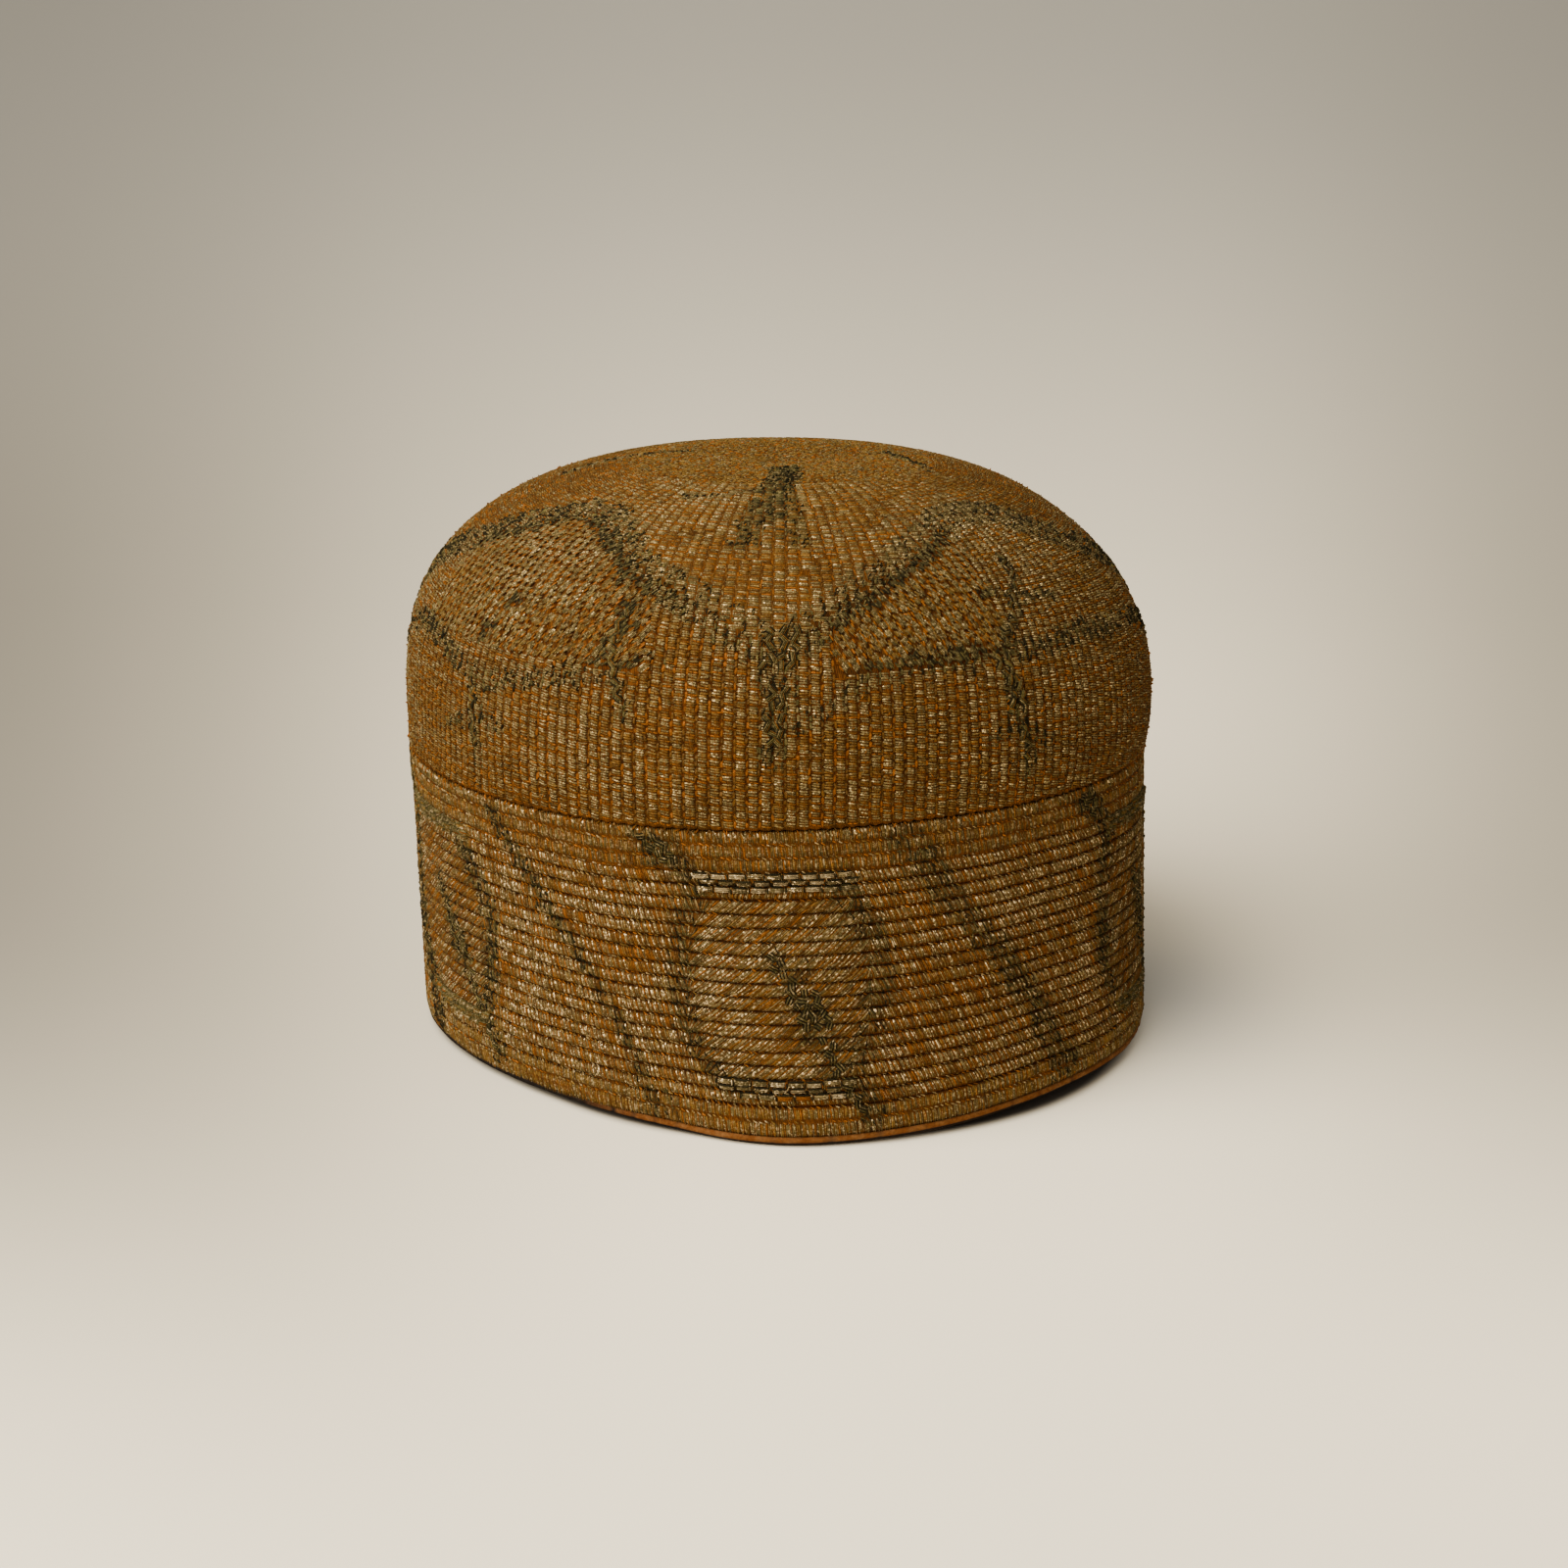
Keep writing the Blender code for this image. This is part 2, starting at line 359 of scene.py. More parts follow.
class Graph:
    """The node graph of one material."""

    def __init__(self, name):
        self.material = bpy.data.materials.new(name)
        self.material.use_nodes = True
        self.tree = self.material.node_tree
        self.shader = self.tree.nodes["Principled BSDF"]

    def add(self, kind, settings=None, inputs=None, output=0):
        """Adds a node, sets it up, fills or links its inputs and returns one of its outputs."""
        node = self.tree.nodes.new(kind)
        for key, value in (settings or {}).items():
            setattr(node, key, value)
        for key, value in (inputs or {}).items():
            self.plug(node.inputs[key], value)
        return Wire(self, node.outputs[output])

    def plug(self, socket, value):
        if isinstance(value, Wire):
            self.tree.links.new(value.socket, socket)
        else:
            socket.default_value = value

    def maths(self, operation, one, two=0.0):
        """Any sum that has no sign of its own in Python."""
        return self.add("ShaderNodeMath", {"operation": operation}, {0: one, 1: two})

    def attribute(self, name, output="Fac"):
        return self.add("ShaderNodeAttribute", {"attribute_name": name}, output=output)

    def mix(self, share, one, two, blend="MIX"):
        """A colour between two colours."""
        settings = {"data_type": "RGBA", "blend_type": blend}
        return self.add("ShaderNodeMix", settings, {0: share, 6: one, 7: two}, output=2)

    def tint(self, share, colour, by):
        """A colour multiplied by another colour."""
        return self.mix(share, colour, by, "MULTIPLY")

    def shaded(self, colour, shade):
        """A colour made lighter or darker by a value."""
        grey = self.add("ShaderNodeCombineColor", None, {0: shade, 1: shade, 2: shade})
        return self.tint(1.0, colour, grey)

    def noise(self, place, scale, detail=3.0):
        inputs = {"Vector": place, "Scale": scale, "Detail": detail, "Roughness": NOISE_ROUGHNESS}
        return self.add("ShaderNodeTexNoise", None, inputs)

    def object_place(self):
        return self.add("ShaderNodeTexCoord", output="Object")

    def parts(self, place):
        """The x, y and z of a place."""
        node = self.add("ShaderNodeSeparateXYZ", None, {0: place}).socket.node
        return [Wire(self, output) for output in node.outputs]

    def spread(self, value, low, high, to_low=0.0, to_high=1.0, change="LINEAR"):
        """A value stretched from one range to another."""
        inputs = {"Value": value, "From Min": low, "From Max": high, "To Min": to_low, "To Max": to_high}
        return self.add("ShaderNodeMapRange", {"interpolation_type": change}, inputs)

    def smooth(self, value, low, high):
        """0 below the low value and 1 above the high one, with a smooth change between."""
        return self.spread(value, low, high, change="SMOOTHSTEP")

    def bell(self, squared):
        """1 in the middle and falling to 0 on all sides, from a squared distance."""
        return self.maths("EXPONENT", squared * -1.0)

    def finish(self, colour, roughness, metallic=0.0, bump=None, specular=CLOTH_SPECULAR):
        """Fills or links the shader's inputs."""
        inputs = {"Base Color": colour, "Roughness": roughness, "Metallic": metallic}
        inputs["Specular IOR Level"] = specular
        if bump is not None:
            relief = {"Height": bump, "Strength": BUMP_STRENGTH, "Distance": BUMP_DEPTH}
            inputs["Normal"] = self.add("ShaderNodeBump", None, relief, "Normal")
        for name, value in inputs.items():
            self.plug(self.shader.inputs[name], value)
        return self.material


# %% [markdown]
# ## Threads
# Two threads cover the hat. One is orange-brown silk, dull and a little fuzzy. The other is a strip
# of silver-gilt wound on a silk core, tarnished to a grey olive, which still glints. The colour of
# each stitch, with painted shade at its ends and sides and in many a painted highlight at one end, is
# stored in its mesh as `dye`, and how much metal it has as `gilt`, so threads of all dyes share a
# material: one for the band, and one for the crown, where the metal is finer and duller. Noise breaks
# every stitch up into its fibres and worn spots.

# %% The material of the threads
def thread_material(name, spot_scale, metal):
    graph = Graph(name)
    place = graph.object_place()
    fibres = graph.noise(place, 3000.0, 2.0)
    spots = graph.noise(place, spot_scale, 1.0)
    wear = graph.noise(place, 210.0, 4.0)
    twist = graph.maths("SINE", graph.attribute("strand"))
    shade = graph.spread(fibres, 0.34, 0.66, 0.60, 1.38) * graph.spread(wear, 0.3, 0.7, 0.80, 1.16)
    shade = shade * (twist * 0.16 + 0.94)
    glint = graph.smooth(spots, 0.54, 0.64) * graph.attribute("gilt")
    colour = graph.mix(glint, graph.shaded(graph.attribute("dye", "Color"), shade), metal)
    return graph.finish(colour, 0.78 - glint * 0.44, glint)


BARE_METAL, DULL_METAL = (0.67, 0.49, 0.250, 1.0), (0.58, 0.42, 0.185, 1.0)
BAND_THREAD = thread_material("silk_and_silver_gilt_thread", 1500.0, BARE_METAL)
CROWN_THREAD = thread_material("finer_silk_and_silver_gilt_thread", 2300.0, DULL_METAL)

# %% [markdown]
# The cloth under the threads shows in the grooves, where its colour is darkened as painted shade, and
# inside the hat, where it is plain brown cotton. `groove` and `inside` are stored in the shells for that.

# %% The materials of the cloth
# Bundles of thread round the hat, each of three strands, and how much they slant
BUNDLE_LINES, STRAND_LINES, THREAD_SLANT = 435.0, 3.0 * 435.0, 2500.0
ORANGE_SILK, BROWN_SILK = (0.068, 0.022, 0.0026, 1.0), (0.034, 0.013, 0.0018, 1.0)
COTTON, PALE_COTTON = (0.120, 0.066, 0.030, 1.0), (0.200, 0.120, 0.060, 1.0)
RUSSET, WORN_RUSSET = (0.076, 0.024, 0.0045, 1.0), (0.110, 0.046, 0.0120, 1.0)
# Tints of the painted shade in the grooves of the band and of the crown, and of the painted shade
# along the binding's foot and in its stitch dents
BAND_GROOVE_SHADE, CROWN_GROOVE_SHADE = (0.22, 0.14, 0.11, 1.0), (0.70, 0.55, 0.45, 1.0)
BINDING_SHADE_TINT = (0.07, 0.13, 0.40, 1.0)


def ground_material(name, groove_shade):
    graph = Graph(name)
    place = graph.object_place()
    fibres = graph.noise(place, 1500.0)
    weave = graph.add("ShaderNodeTexVoronoi", None, {"Vector": place, "Scale": 1100.0}, "Distance")
    x, y, z = graph.parts(place)
    angle, slant = graph.maths("ARCTAN2", x, y * -1.0), z * THREAD_SLANT
    bundle = graph.maths("SINE", angle * BUNDLE_LINES + slant)
    strand = graph.maths("SINE", angle * STRAND_LINES + slant)
    silk = graph.mix(graph.spread(graph.noise(place, 160.0), 0.35, 0.65), ORANGE_SILK, BROWN_SILK)
    # Painted shade: the silk is darkened by how deep in its groove it lies
    silk = graph.tint(graph.attribute("groove"), silk, groove_shade)
    colour = graph.mix(graph.attribute("inside"), silk, graph.mix(weave, COTTON, PALE_COTTON))
    shade = graph.spread(fibres, 0.3, 0.7, 0.7, 1.25) * (bundle * 0.20 + 1.0) * (strand * 0.25 + 1.0)
    relief = fibres + weave * 0.5 + strand * 0.4
    return graph.finish(graph.shaded(colour, shade), 0.86, bump=relief)


def binding_material(name):
    graph = Graph(name)
    place = graph.object_place()
    fibres = graph.noise(place, 1800.0)
    worn_spots = graph.noise(place, 420.0, 5.0)
    cloth = graph.mix(graph.spread(worn_spots, 0.4, 0.7), RUSSET, WORN_RUSSET)
    # Painted shade along the foot and in the stitch dents, through `groove`
    cloth = graph.tint(graph.attribute("groove"), cloth, BINDING_SHADE_TINT)
    shade = graph.spread(fibres, 0.3, 0.7, 0.72, 1.22)
    return graph.finish(graph.shaded(cloth, shade), 0.88, bump=fibres)


BAND_GROUND = ground_material("band_silk_ground", BAND_GROOVE_SHADE)
CROWN_GROUND = ground_material("crown_silk_ground", CROWN_GROOVE_SHADE)
BINDING_CLOTH = binding_material("worn_binding_cotton")

# %% [markdown]
# ## Shells
# A padded wall is begun as a ring of points that is extruded upwards, once for each line of the
# profile, as a tube. The tube is then given the hat's form: each of its rings goes to its own place
# on the outside, round the edge or down the inside. Its two ends meet at the lower edge and are
# bridged, and where a crown closes at its pole, the points of a ring become one. This makes an even
# net, with as many columns as the ribs need.

# %% From a straight tube to a padded wall
MERGE_DISTANCE = 0.01 * MM


def edit(action):
    """Starts or goes on editing the active mesh, with all or none of it selected."""
    bpy.ops.object.mode_set(mode="EDIT")
    bpy.ops.mesh.select_all(action=action)


def stop_editing():
    bpy.ops.object.mode_set(mode="OBJECT")


def extrude(x, y, z):
    bpy.ops.mesh.extrude_region_move(TRANSFORM_OT_translate={"value": (x, y, z)})


def tube(name, columns, rings):
    """A straight tube with a given number of rings, one unit apart, as the active object."""
    bpy.ops.mesh.primitive_circle_add(vertices=columns, radius=1.0)
    piece = bpy.context.object
    piece.name = name
    piece.data.name = name
    edit("SELECT")
    for _ in range(rings - 1):
        extrude(0, 0, 1)
    return piece


def padded_shell(name, columns, rows, surface_of, material):
    """A tube that is given the places of a profile.

    Each row has a way up, a depth into the wall, a share of relief, and whether it is inside.
    """
    profile = np.array(rows, dtype=float)
    piece = tube(name, columns, len(profile))
    edit("DESELECT")
    bpy.ops.mesh.select_non_manifold(extend=False, use_wire=False, use_multi_face=False,
                                     use_non_contiguous=False, use_verts=False)
    bpy.ops.mesh.bridge_edge_loops()
    stop_editing()
    mesh = piece.data
    flat = np.zeros(len(mesh.vertices) * 3)
    mesh.vertices.foreach_get("co", flat)
    flat = flat.reshape(-1, 3)
    angle = np.arctan2(flat[:, 0], -flat[:, 1])
    ring = np.rint(flat[:, 2]).astype(int)
    way, depth, relief, inside = profile[ring].T
    point, groove = surface_of(angle, way, depth, relief)
    mesh.vertices.foreach_set("co", (point * MM).ravel())
    store(mesh, "groove", groove)
    store(mesh, "inside", inside)
    mesh.update()
    edit("SELECT")
    bpy.ops.mesh.remove_doubles(threshold=MERGE_DISTANCE)
    bpy.ops.mesh.normals_make_consistent(inside=False)
    stop_editing()
    bpy.ops.object.shade_smooth()
    mesh.materials.clear()
    mesh.materials.append(material)
    print(piece.name, "has", sum(len(face.vertices) - 2 for face in mesh.polygons), "triangles")
    return piece


def store(mesh, name, values, kind="FLOAT"):
    """Keeps a value for each point of a mesh, where a material can read it."""
    layer = mesh.attributes.new(name, kind, "POINT")
    field = "color" if kind == "FLOAT_COLOR" else "value"
    layer.data.foreach_set(field, np.ascontiguousarray(values, dtype=np.float32).ravel())


# %% [markdown]
# The band's profile has four rings to each cord: one in the groove, one near each of its edges and
# one on the crest. The rings follow the wandering rows, so that a groove is never cut by a face.

# %% The shell of the band
BAND_COLUMNS = 320
# Places of the rings in a cord, from its lower groove up
RINGS_IN_CORD = (1.0, 0.87, 0.5, 0.13)
# Height of the band's lower edge, and depth of its outside there, under the binding
BAND_FOOT, FOOT_DEPTH = 1.2, 1.2


def band_profile():
    """Rows from the lower edge up the outside and down the inside."""
    rows = [(BAND_FOOT, FOOT_DEPTH, 0, 0), (CORDS_END - 0.2, FOOT_DEPTH, 0, 0)]
    for row in range(CORD_ROWS - 1, -1, -1):
        rows += [(BAND_TOP - (row + part) * CORD_PITCH, 0.0, 1, 0) for part in RINGS_IN_CORD]
    rows += [(BAND_TOP, 0.6, 0, 0)]
    inside = (BAND_TOP, BAND_TOP * 0.66, BAND_TOP * 0.33, BAND_FOOT)
    return rows + [(height, BAND_WALL, 0, 1) for height in inside]


def band_wall(angle, height, depth, relief):
    height = height + row_shift(angle, height)
    point, out = with_normals(band_form, angle, height)
    lift = cord_relief(angle, height)
    # How deep in its groove a point lies, for the painted shade of the grooves
    groove = np.clip((CORD_CREST - lift) / CORD_DEPTH, 0, 1) ** 2 * relief
    return point + out * (lift * relief - depth)[:, None], groove


band_shell = padded_shell("band_shell", BAND_COLUMNS, band_profile(), band_wall, BAND_GROUND)

# %% [markdown]
# The crown has two columns to each low rib, one on its crest and one in the groove, which is the
# fewest that can show it. Its rings stand closer near the top, where the ribs are short.

# %% The shell of the crown
CROWN_COLUMNS = 424
CROWN_RINGS = 56
LINING_RINGS = 10


def crown_profile():
    """Rows from the lower edge to the pole and down again inside."""
    outside = 0.5 + (CROWN_LENGTH - 0.5) * np.linspace(0, 1, CROWN_RINGS) ** 0.9
    rows = [(0.0, 1.0, 0, 0), (0.1, 0.1, 1, 0)]
    rows += [(way, 0.0, 1, 0) for way in outside]
    return rows + [(way, CROWN_WALL, 0, 1) for way in np.linspace(CROWN_LENGTH, 0.0, LINING_RINGS)]


def crown_wall(angle, way, depth, relief):
    lift = rib_relief(angle, way)
    # How deep between the ribs a point lies, for the painted shade of the grooves
    groove = np.clip((RIB_CREST - lift) / RIB_DEPTH, 0, 1) ** 2 * relief
    # At the pole, where all angles meet, one angle stands for all of them
    angle = np.where(way > CROWN_LENGTH - 0.001, 0.0, angle)
    point, out = with_normals(crown_form, angle, way)
    return point + out * (lift * relief - depth)[:, None], groove


crown_shell = padded_shell("crown_shell", CROWN_COLUMNS, crown_profile(), crown_wall, CROWN_GROUND)

# %% [markdown]
# ## The binding of the rim
# A strip of red-brown cotton is folded round the lower edge. It is rounded where it wears on the
# table, and pulled in a little by each of its stitches. Its colour is darkened in those dents and
# along its foot, most on the left of the front, as painted shade.

# %% The shell of the binding
BINDING_COLUMNS = 480
BINDING_STITCH = 7.5
LOWEST_HEIGHT = 0.2
# Rows of its profile, with a share of puckering in the third place
BINDING_PROFILE = (
    (2.6, 0.9, 0, 0), (2.45, 0.35, 1, 0), (1.9, 0.12, 1, 0), (1.4, 0.15, 1, 0), (1.1, 0.3, 0.6, 0),
    (0.8, 0.6, 0.2, 0), (0.5, 1.0, 0, 0), (0.2, 1.5, 0, 0), (0.03, 2.2, 0, 0), (0.0, 2.7, 0, 0),
    (0.1, 3.2, 0, 0), (0.5, 3.8, 0, 1), (1.2, 4.0, 0, 1), (6.0, 4.0, 0, 1), (6.0, 3.1, 0, 1),
    (1.3, 3.1, 0, 1), (1.3, 1.2, 0, 1),
)


def left_part(angle):
    """1 on the left of the front, where the threads reach lowest and the foot is darkened as painted
    shade, 0 elsewhere.
    """
    return np.clip((42 - np.abs(fold_angle(angle + math.radians(62), 360.0))) / 14, 0, 1)


def binding_wall(angle, height, depth, pucker):
    point, out = with_normals(band_form, angle, np.maximum(height, LOWEST_HEIGHT))
    point[:, 2] += height - np.maximum(height, LOWEST_HEIGHT)
    stitch = angle * RADIUS / BINDING_STITCH + 0.22 * np.sin(17 * angle) + 0.3 * np.sin(5 * angle + 1)
    pinch = np.exp(-(((stitch + 0.5) % 1.0 - 0.5) / 0.07) ** 2) * (0.5 + 0.5 * np.sin(11 * angle))
    uneven = 0.16 * np.sin(23 * angle + 1.0) * np.sin(7 * angle)
    # Painted shade: the foot is darkened, on the left of the front the whole lower binding, and so are
    # the stitch dents
    foot_shade = np.clip(1.4 - height, 0, 0.3) / 0.3 + left_part(angle) * (height < 2.7)
    foot_shade = foot_shade * np.where(depth < 1.2, 1.0, 0.6) * (depth < 3.5)
    groove = np.clip(0.7 * pinch * pucker + foot_shade, 0, 1)
    return point + out * (pucker * (uneven - 0.35 * pinch) - depth)[:, None], groove


binding_shell = padded_shell(
    "binding_shell", BINDING_COLUMNS, BINDING_PROFILE, binding_wall, BINDING_CLOTH
)

# %% [markdown]
# ## How a stitch is made
# A stitch is a short ridge of thread between two points of the surface: it starts in the cloth,
# rises, and goes back into the cloth. Tens of thousands are needed, so each has only a few faces, and
# all of one kind are joined in one mesh. A stitch is given by its two ends on the hat, its width and
# height, and its dye.

# %% Laying many stitches as one mesh
# Shares of its length where a stitch is full: a short one, a flat one, and a long one
SHORT, FLAT, LONG = (0.25, 0.75), (0.2, 0.8), (0.15, 0.5, 0.85)
# Painted shade: how dark a stitch's dye is made at its sunk ends and along its sides
END_SHADE, SIDE_SHADE = 0.55, 0.70
# How square it is along its length, how high its edges lie and how deep its ends are sunk
ARCH_POWER, EDGE_SHARE, SUNK = 0.35, 0.1, 0.05
STRANDS, TURNS = 2.5, 3.0


def ends_about(angle, way, across, up):
    """The two ends of each stitch, on both sides of its middle."""
    return np.stack((angle - across, way - up), axis=1), np.stack((angle + across, way + up), axis=1)


def leaning_ends(angle, way, radius, lean, half):
    """The two ends of each stitch, from its lean and half its length."""
    return ends_about(angle, way, np.cos(lean) * half / radius, np.sin(lean) * half)


def lay_stitches(name, surface, stitches, places):
    """Joins stitches in one mesh. Their ends are pairs of angle and way up the hat.

    The places are the shares of its length where a stitch has its full width and height.
    """
    start, end, width, height, one, two = stitches
    stations = len(places)
    count = len(start)
    steps = np.array((0.0, *places, 1.0))
    line = start[:, None] + (end - start)[:, None] * steps[None, :, None]
    base, out = surface(line[..., 0], line[..., 1])
    along = np.gradient(base, axis=1)
    side = np.cross(out, along)
    side /= np.maximum(np.linalg.norm(side, axis=-1, keepdims=True), 1e-9)
    arch = np.sin(math.pi * steps) ** ARCH_POWER
    half = (width[:, None] * arch[None] / 2)[..., None]
    up = (height[:, None] * arch[None])[..., None]
    middle = slice(1, stations + 1)
    left = (base + side * half + out * up * EDGE_SHARE)[:, middle]
    ridge = (base + out * up)[:, middle]
    right = (base - side * half + out * up * EDGE_SHARE)[:, middle]
    strip = np.stack((left, ridge, right), axis=2).reshape(count, -1, 3)
    sunk = base - out * SUNK
    points = np.concatenate((sunk[:, :1], strip, sunk[:, -1:]), axis=1)
    each = points.shape[1]

    faces = [(0, 3, 2), (0, 2, 1)]
    for a in range(1, each - 6, 3):
        b, c, d, e, f = range(a + 1, a + 6)
        faces += [(c, f, e), (c, e, b), (b, e, d), (b, d, a)]
    a, b, c, tip = range(each - 4, each)
    faces += [(c, tip, b), (b, tip, a)]
    faces = (np.array(faces)[None] + np.arange(count)[:, None, None] * each).reshape(-1, 3)

    mesh = bpy.data.meshes.new(name)
    mesh.vertices.add(count * each)
    mesh.vertices.foreach_set("co", (points * MM).ravel())
    mesh.loops.add(faces.size)
    mesh.loops.foreach_set("vertex_index", faces.ravel().astype(np.int32))
    mesh.polygons.add(len(faces))
    mesh.polygons.foreach_set("loop_start", np.arange(0, faces.size, 3, dtype=np.int32))
    mesh.update(calc_edges=True)
    mesh.validate()
    mesh.shade_smooth()
    share = np.concatenate(((0.0,), np.repeat(steps[middle], 3), (1.0,)))
    # Painted shade at the ends and sides of each stitch, in its dye and in its share of metal
    shade = np.concatenate(((END_SHADE,), np.tile((SIDE_SHADE, 1.0, SIDE_SHADE), stations), (END_SHADE,)))
    look = one[:, None] * (1 - share)[None, :, None] + two[:, None] * share[None, :, None]
    look = look * shade[None, :, None]
    colour = np.concatenate((look[..., :3], np.ones(look.shape[:2] + (1,))), axis=2)
    store(mesh, "dye", colour, "FLOAT_COLOR")
    store(mesh, "gilt", look[..., 3])
    across = np.concatenate(((0.0,), np.tile((-0.5, 0.0, 0.5), stations), (0.0,)))
    strand = (across * STRANDS + share * TURNS) * 2 * math.pi
    store(mesh, "strand", np.broadcast_to(strand, (count, each)) + np.arange(count)[:, None] % 7)
    mesh.materials.append(BAND_THREAD if surface is band_surface else CROWN_THREAD)
    piece = bpy.data.objects.new(name, mesh)
    bpy.context.scene.collection.objects.link(piece)
    print(name, "has", count, "stitches and", len(faces), "triangles")
    return piece


# %% [markdown]
# ## Chance that repeats
# Hand work varies in patches: the silver comes and goes in bundles, and so does the wear. A lattice
# of random values, smoothed between its points and closed round the head, gives such patches. All
# chance comes from one seed, so that the script makes the same hat each time.

# %% Patches of chance round the head
rng = np.random.default_rng(SEED)
LATTICE_HEIGHT = 200


def patches(angle, way, cell_round, cell_up):
    """A value from 0 to 1 that changes over cells of these sizes, in millimetres."""
    columns = max(int(round(2 * math.pi * RADIUS / cell_round)), 3)
    lattice = rng.random((int(LATTICE_HEIGHT / cell_up) + 4, columns))
    x = (np.asarray(angle) / (2 * math.pi)) % 1.0 * columns
    y = np.clip(np.asarray(way) / cell_up + 1, 0, lattice.shape[0] - 2)
    left, low = np.floor(x).astype(int), np.floor(y).astype(int)
    u, v = x - left, y - low
    u, v = u * u * (3 - 2 * u), v * v * (3 - 2 * v)
    a = lattice[low, left % columns] * (1 - u) + lattice[low, (left + 1) % columns] * u
    b = lattice[low + 1, left % columns] * (1 - u) + lattice[low + 1, (left + 1) % columns] * u
    return a * (1 - v) + b * v


# %% [markdown]
# ## The ornament
# The ornament is couched in dark and olive thread. Six rounded squares stand round the band, each
# with a leafy sprig in it, and a stem runs down to the right between each two. On the crown, a scroll
# with four high and four low points surrounds the top, with a garland below it and sprigs across.
# It is charted here as strokes: each is a line of points and a width.

# %% The chart of the band: angle from a medallion's middle in degrees, height in millimetres
MEDALLIONS = (0.0, 70.0, 131.0, 187.0, 241.5, 296.5)
BAND_STROKES = (
    (6.4, ((-11.5, 60), (-12.3, 55), (-13.2, 47), (-13.8, 39.5), (-13.4, 33), (-13, 27))),
    (5.2, ((-13.5, 27), (-11.5, 21.7), (-9, 17.5), (-6, 14))),
    (6.4, ((8.8, 58), (11.2, 53.5), (13.2, 49), (14.4, 43), (14.4, 36.5), (13.4, 30), (12, 23.6))),
    (5.0, ((12, 23.6), (11, 18), (9.5, 14))),
    (4.0, ((-1.5, 45.5), (0, 42.6), (1.5, 38.7), (3, 34.8))),
    (7.5, ((3, 34.8), (3.5, 31), (5, 27.5))),
    (4.4, ((5, 27.5), (6.5, 23.6), (8, 18.5), (9, 15))),
    (2.6, ((4, 43.6), (4, 40.6), (3, 38.2))),
    (5.0, ((9.5, 15), (12, 12), (13.5, 8), (12.5, 4.5))),
    (6.0, ((-16.5, 71.5), (-15.5, 68), (-13.5, 64.7), (-12.5, 61.5))),
    (3.5, ((-20, 71), (-18, 66.5), (-16, 63.5))),
)
STEM_STROKES = (
    (8.4, ((17.5, 71), (19.5, 67), (22, 62.5))),
    (7.6, ((22, 62.5), (24.5, 56), (27.5, 50.6), (30, 45.3), (32.5, 41))),
    (6.8, ((32.5, 41), (35, 35.8), (37, 30.4), (40, 24.3), (41.5, 18.5), (43.5, 11.7), (45.5, 6.3))),
    (3.5, ((44, 3.6), (47, 4.8), (48.6, 8.2), (46.4, 9.4))),
)

# %% [markdown]
# The crown's chart repeats with the scroll: some strokes come four times, the garland and the sprigs
# with the front and the back, and a plainer garland at the sides. The leaf on the top comes once.

# %% The chart of the crown: angle from a low point of the scroll, way up from the seam
CROWN_STROKES = (
    (10.0, tuple(map(tuple, SCROLL))),
    (9.0, ((0.5, 41), (0, 35), (-0.5, 29))),
    (6.5, ((-0.5, 29), (-0.5, 24.5), (-1, 17.5))),
)
FRONT_STROKES = (
    (5.0, ((2, 23), (6, 26.5), (11, 31.2), (14.5, 33), (20.5, 34.8), (27.5, 35.5), (41, 35), (52, 36.5),
           (60, 36))),
    (5.0, ((-25, 34.3), (-28, 32), (-35.5, 29.9), (-43.5, 26.7), (-49, 26.7), (-53.5, 28), (-58, 30.8),
           (-64, 32))),
    (3.6, ((44, 58), (44.5, 55), (42.5, 50), (42, 46.4), (39.5, 43), (37.5, 39), (35, 35.7))),
    (4.6, ((35, 35.7), (35.5, 30), (36, 25.4), (37, 20), (38, 15), (38.5, 8.5))),
    (2.6, ((34.5, 50), (42.5, 47.7), (50, 46))),
    (3.2, ((32, 17), (37.5, 18.5), (42, 14))),
    (3.6, ((-49.5, 26), (-48.5, 20), (-49, 16), (-48, 13), (-47.5, 8.5))),
    (3.6, ((-55, 14.5), (-48.5, 18.5), (-43, 16.5))),
    (3.8, ((-23.5, 48), (-22.5, 43.7), (-25, 38.3), (-24.5, 35.2), (-23, 31.2), (-22, 28),
           (-21.5, 24.5))),
    (3.0, ((-28, 31.5), (-23.5, 34.8), (-20, 36.5), (-17.5, 38.5))),
    (3.0, ((-49.5, 35), (-49, 38), (-47.5, 40.6), (-46, 43.7), (-45, 47))),
)
SIDE_STROKES = (
    (5.0, ((-30, 36), (-20, 35), (-12, 32), (-3, 24), (3, 24), (10, 30), (20, 34), (26, 32.5))),
)
CROWN_TURNS = (0.0, 90.0, 180.0, 270.0)
FRONT_TURNS = (0.0, 180.0)
SIDE_TURNS = (90.0, 270.0)

# The dark leaf at the front of the top, its paler lobe, and a few worn dashes
TOP_STROKES = (
    (7.5, ((6, 119), (-0.5, 98.5), (-3.5, 85.6), (-5.5, 76.2), (-6.5, 70))),
    (5.5, ((0.5, 91.4), (2.5, 80.2), (3.0, 73.0), (4.0, 69.5))),
    (1.6, ((-27, 88), (-18.5, 89.6), (-11, 93), (-4, 96))),
    (2.4, ((-88, 82), (-94, 91), (-99, 99), (-112, 110))),
    (2.2, ((107, 106.6), (82, 102.3), (66, 93.6))),
)


# %% [markdown]
# A stitch has to know whether it lies in a stroke. The distance from a point to each segment of the
# chart answers that, and it gives ragged edges for free when some chance is added to it.

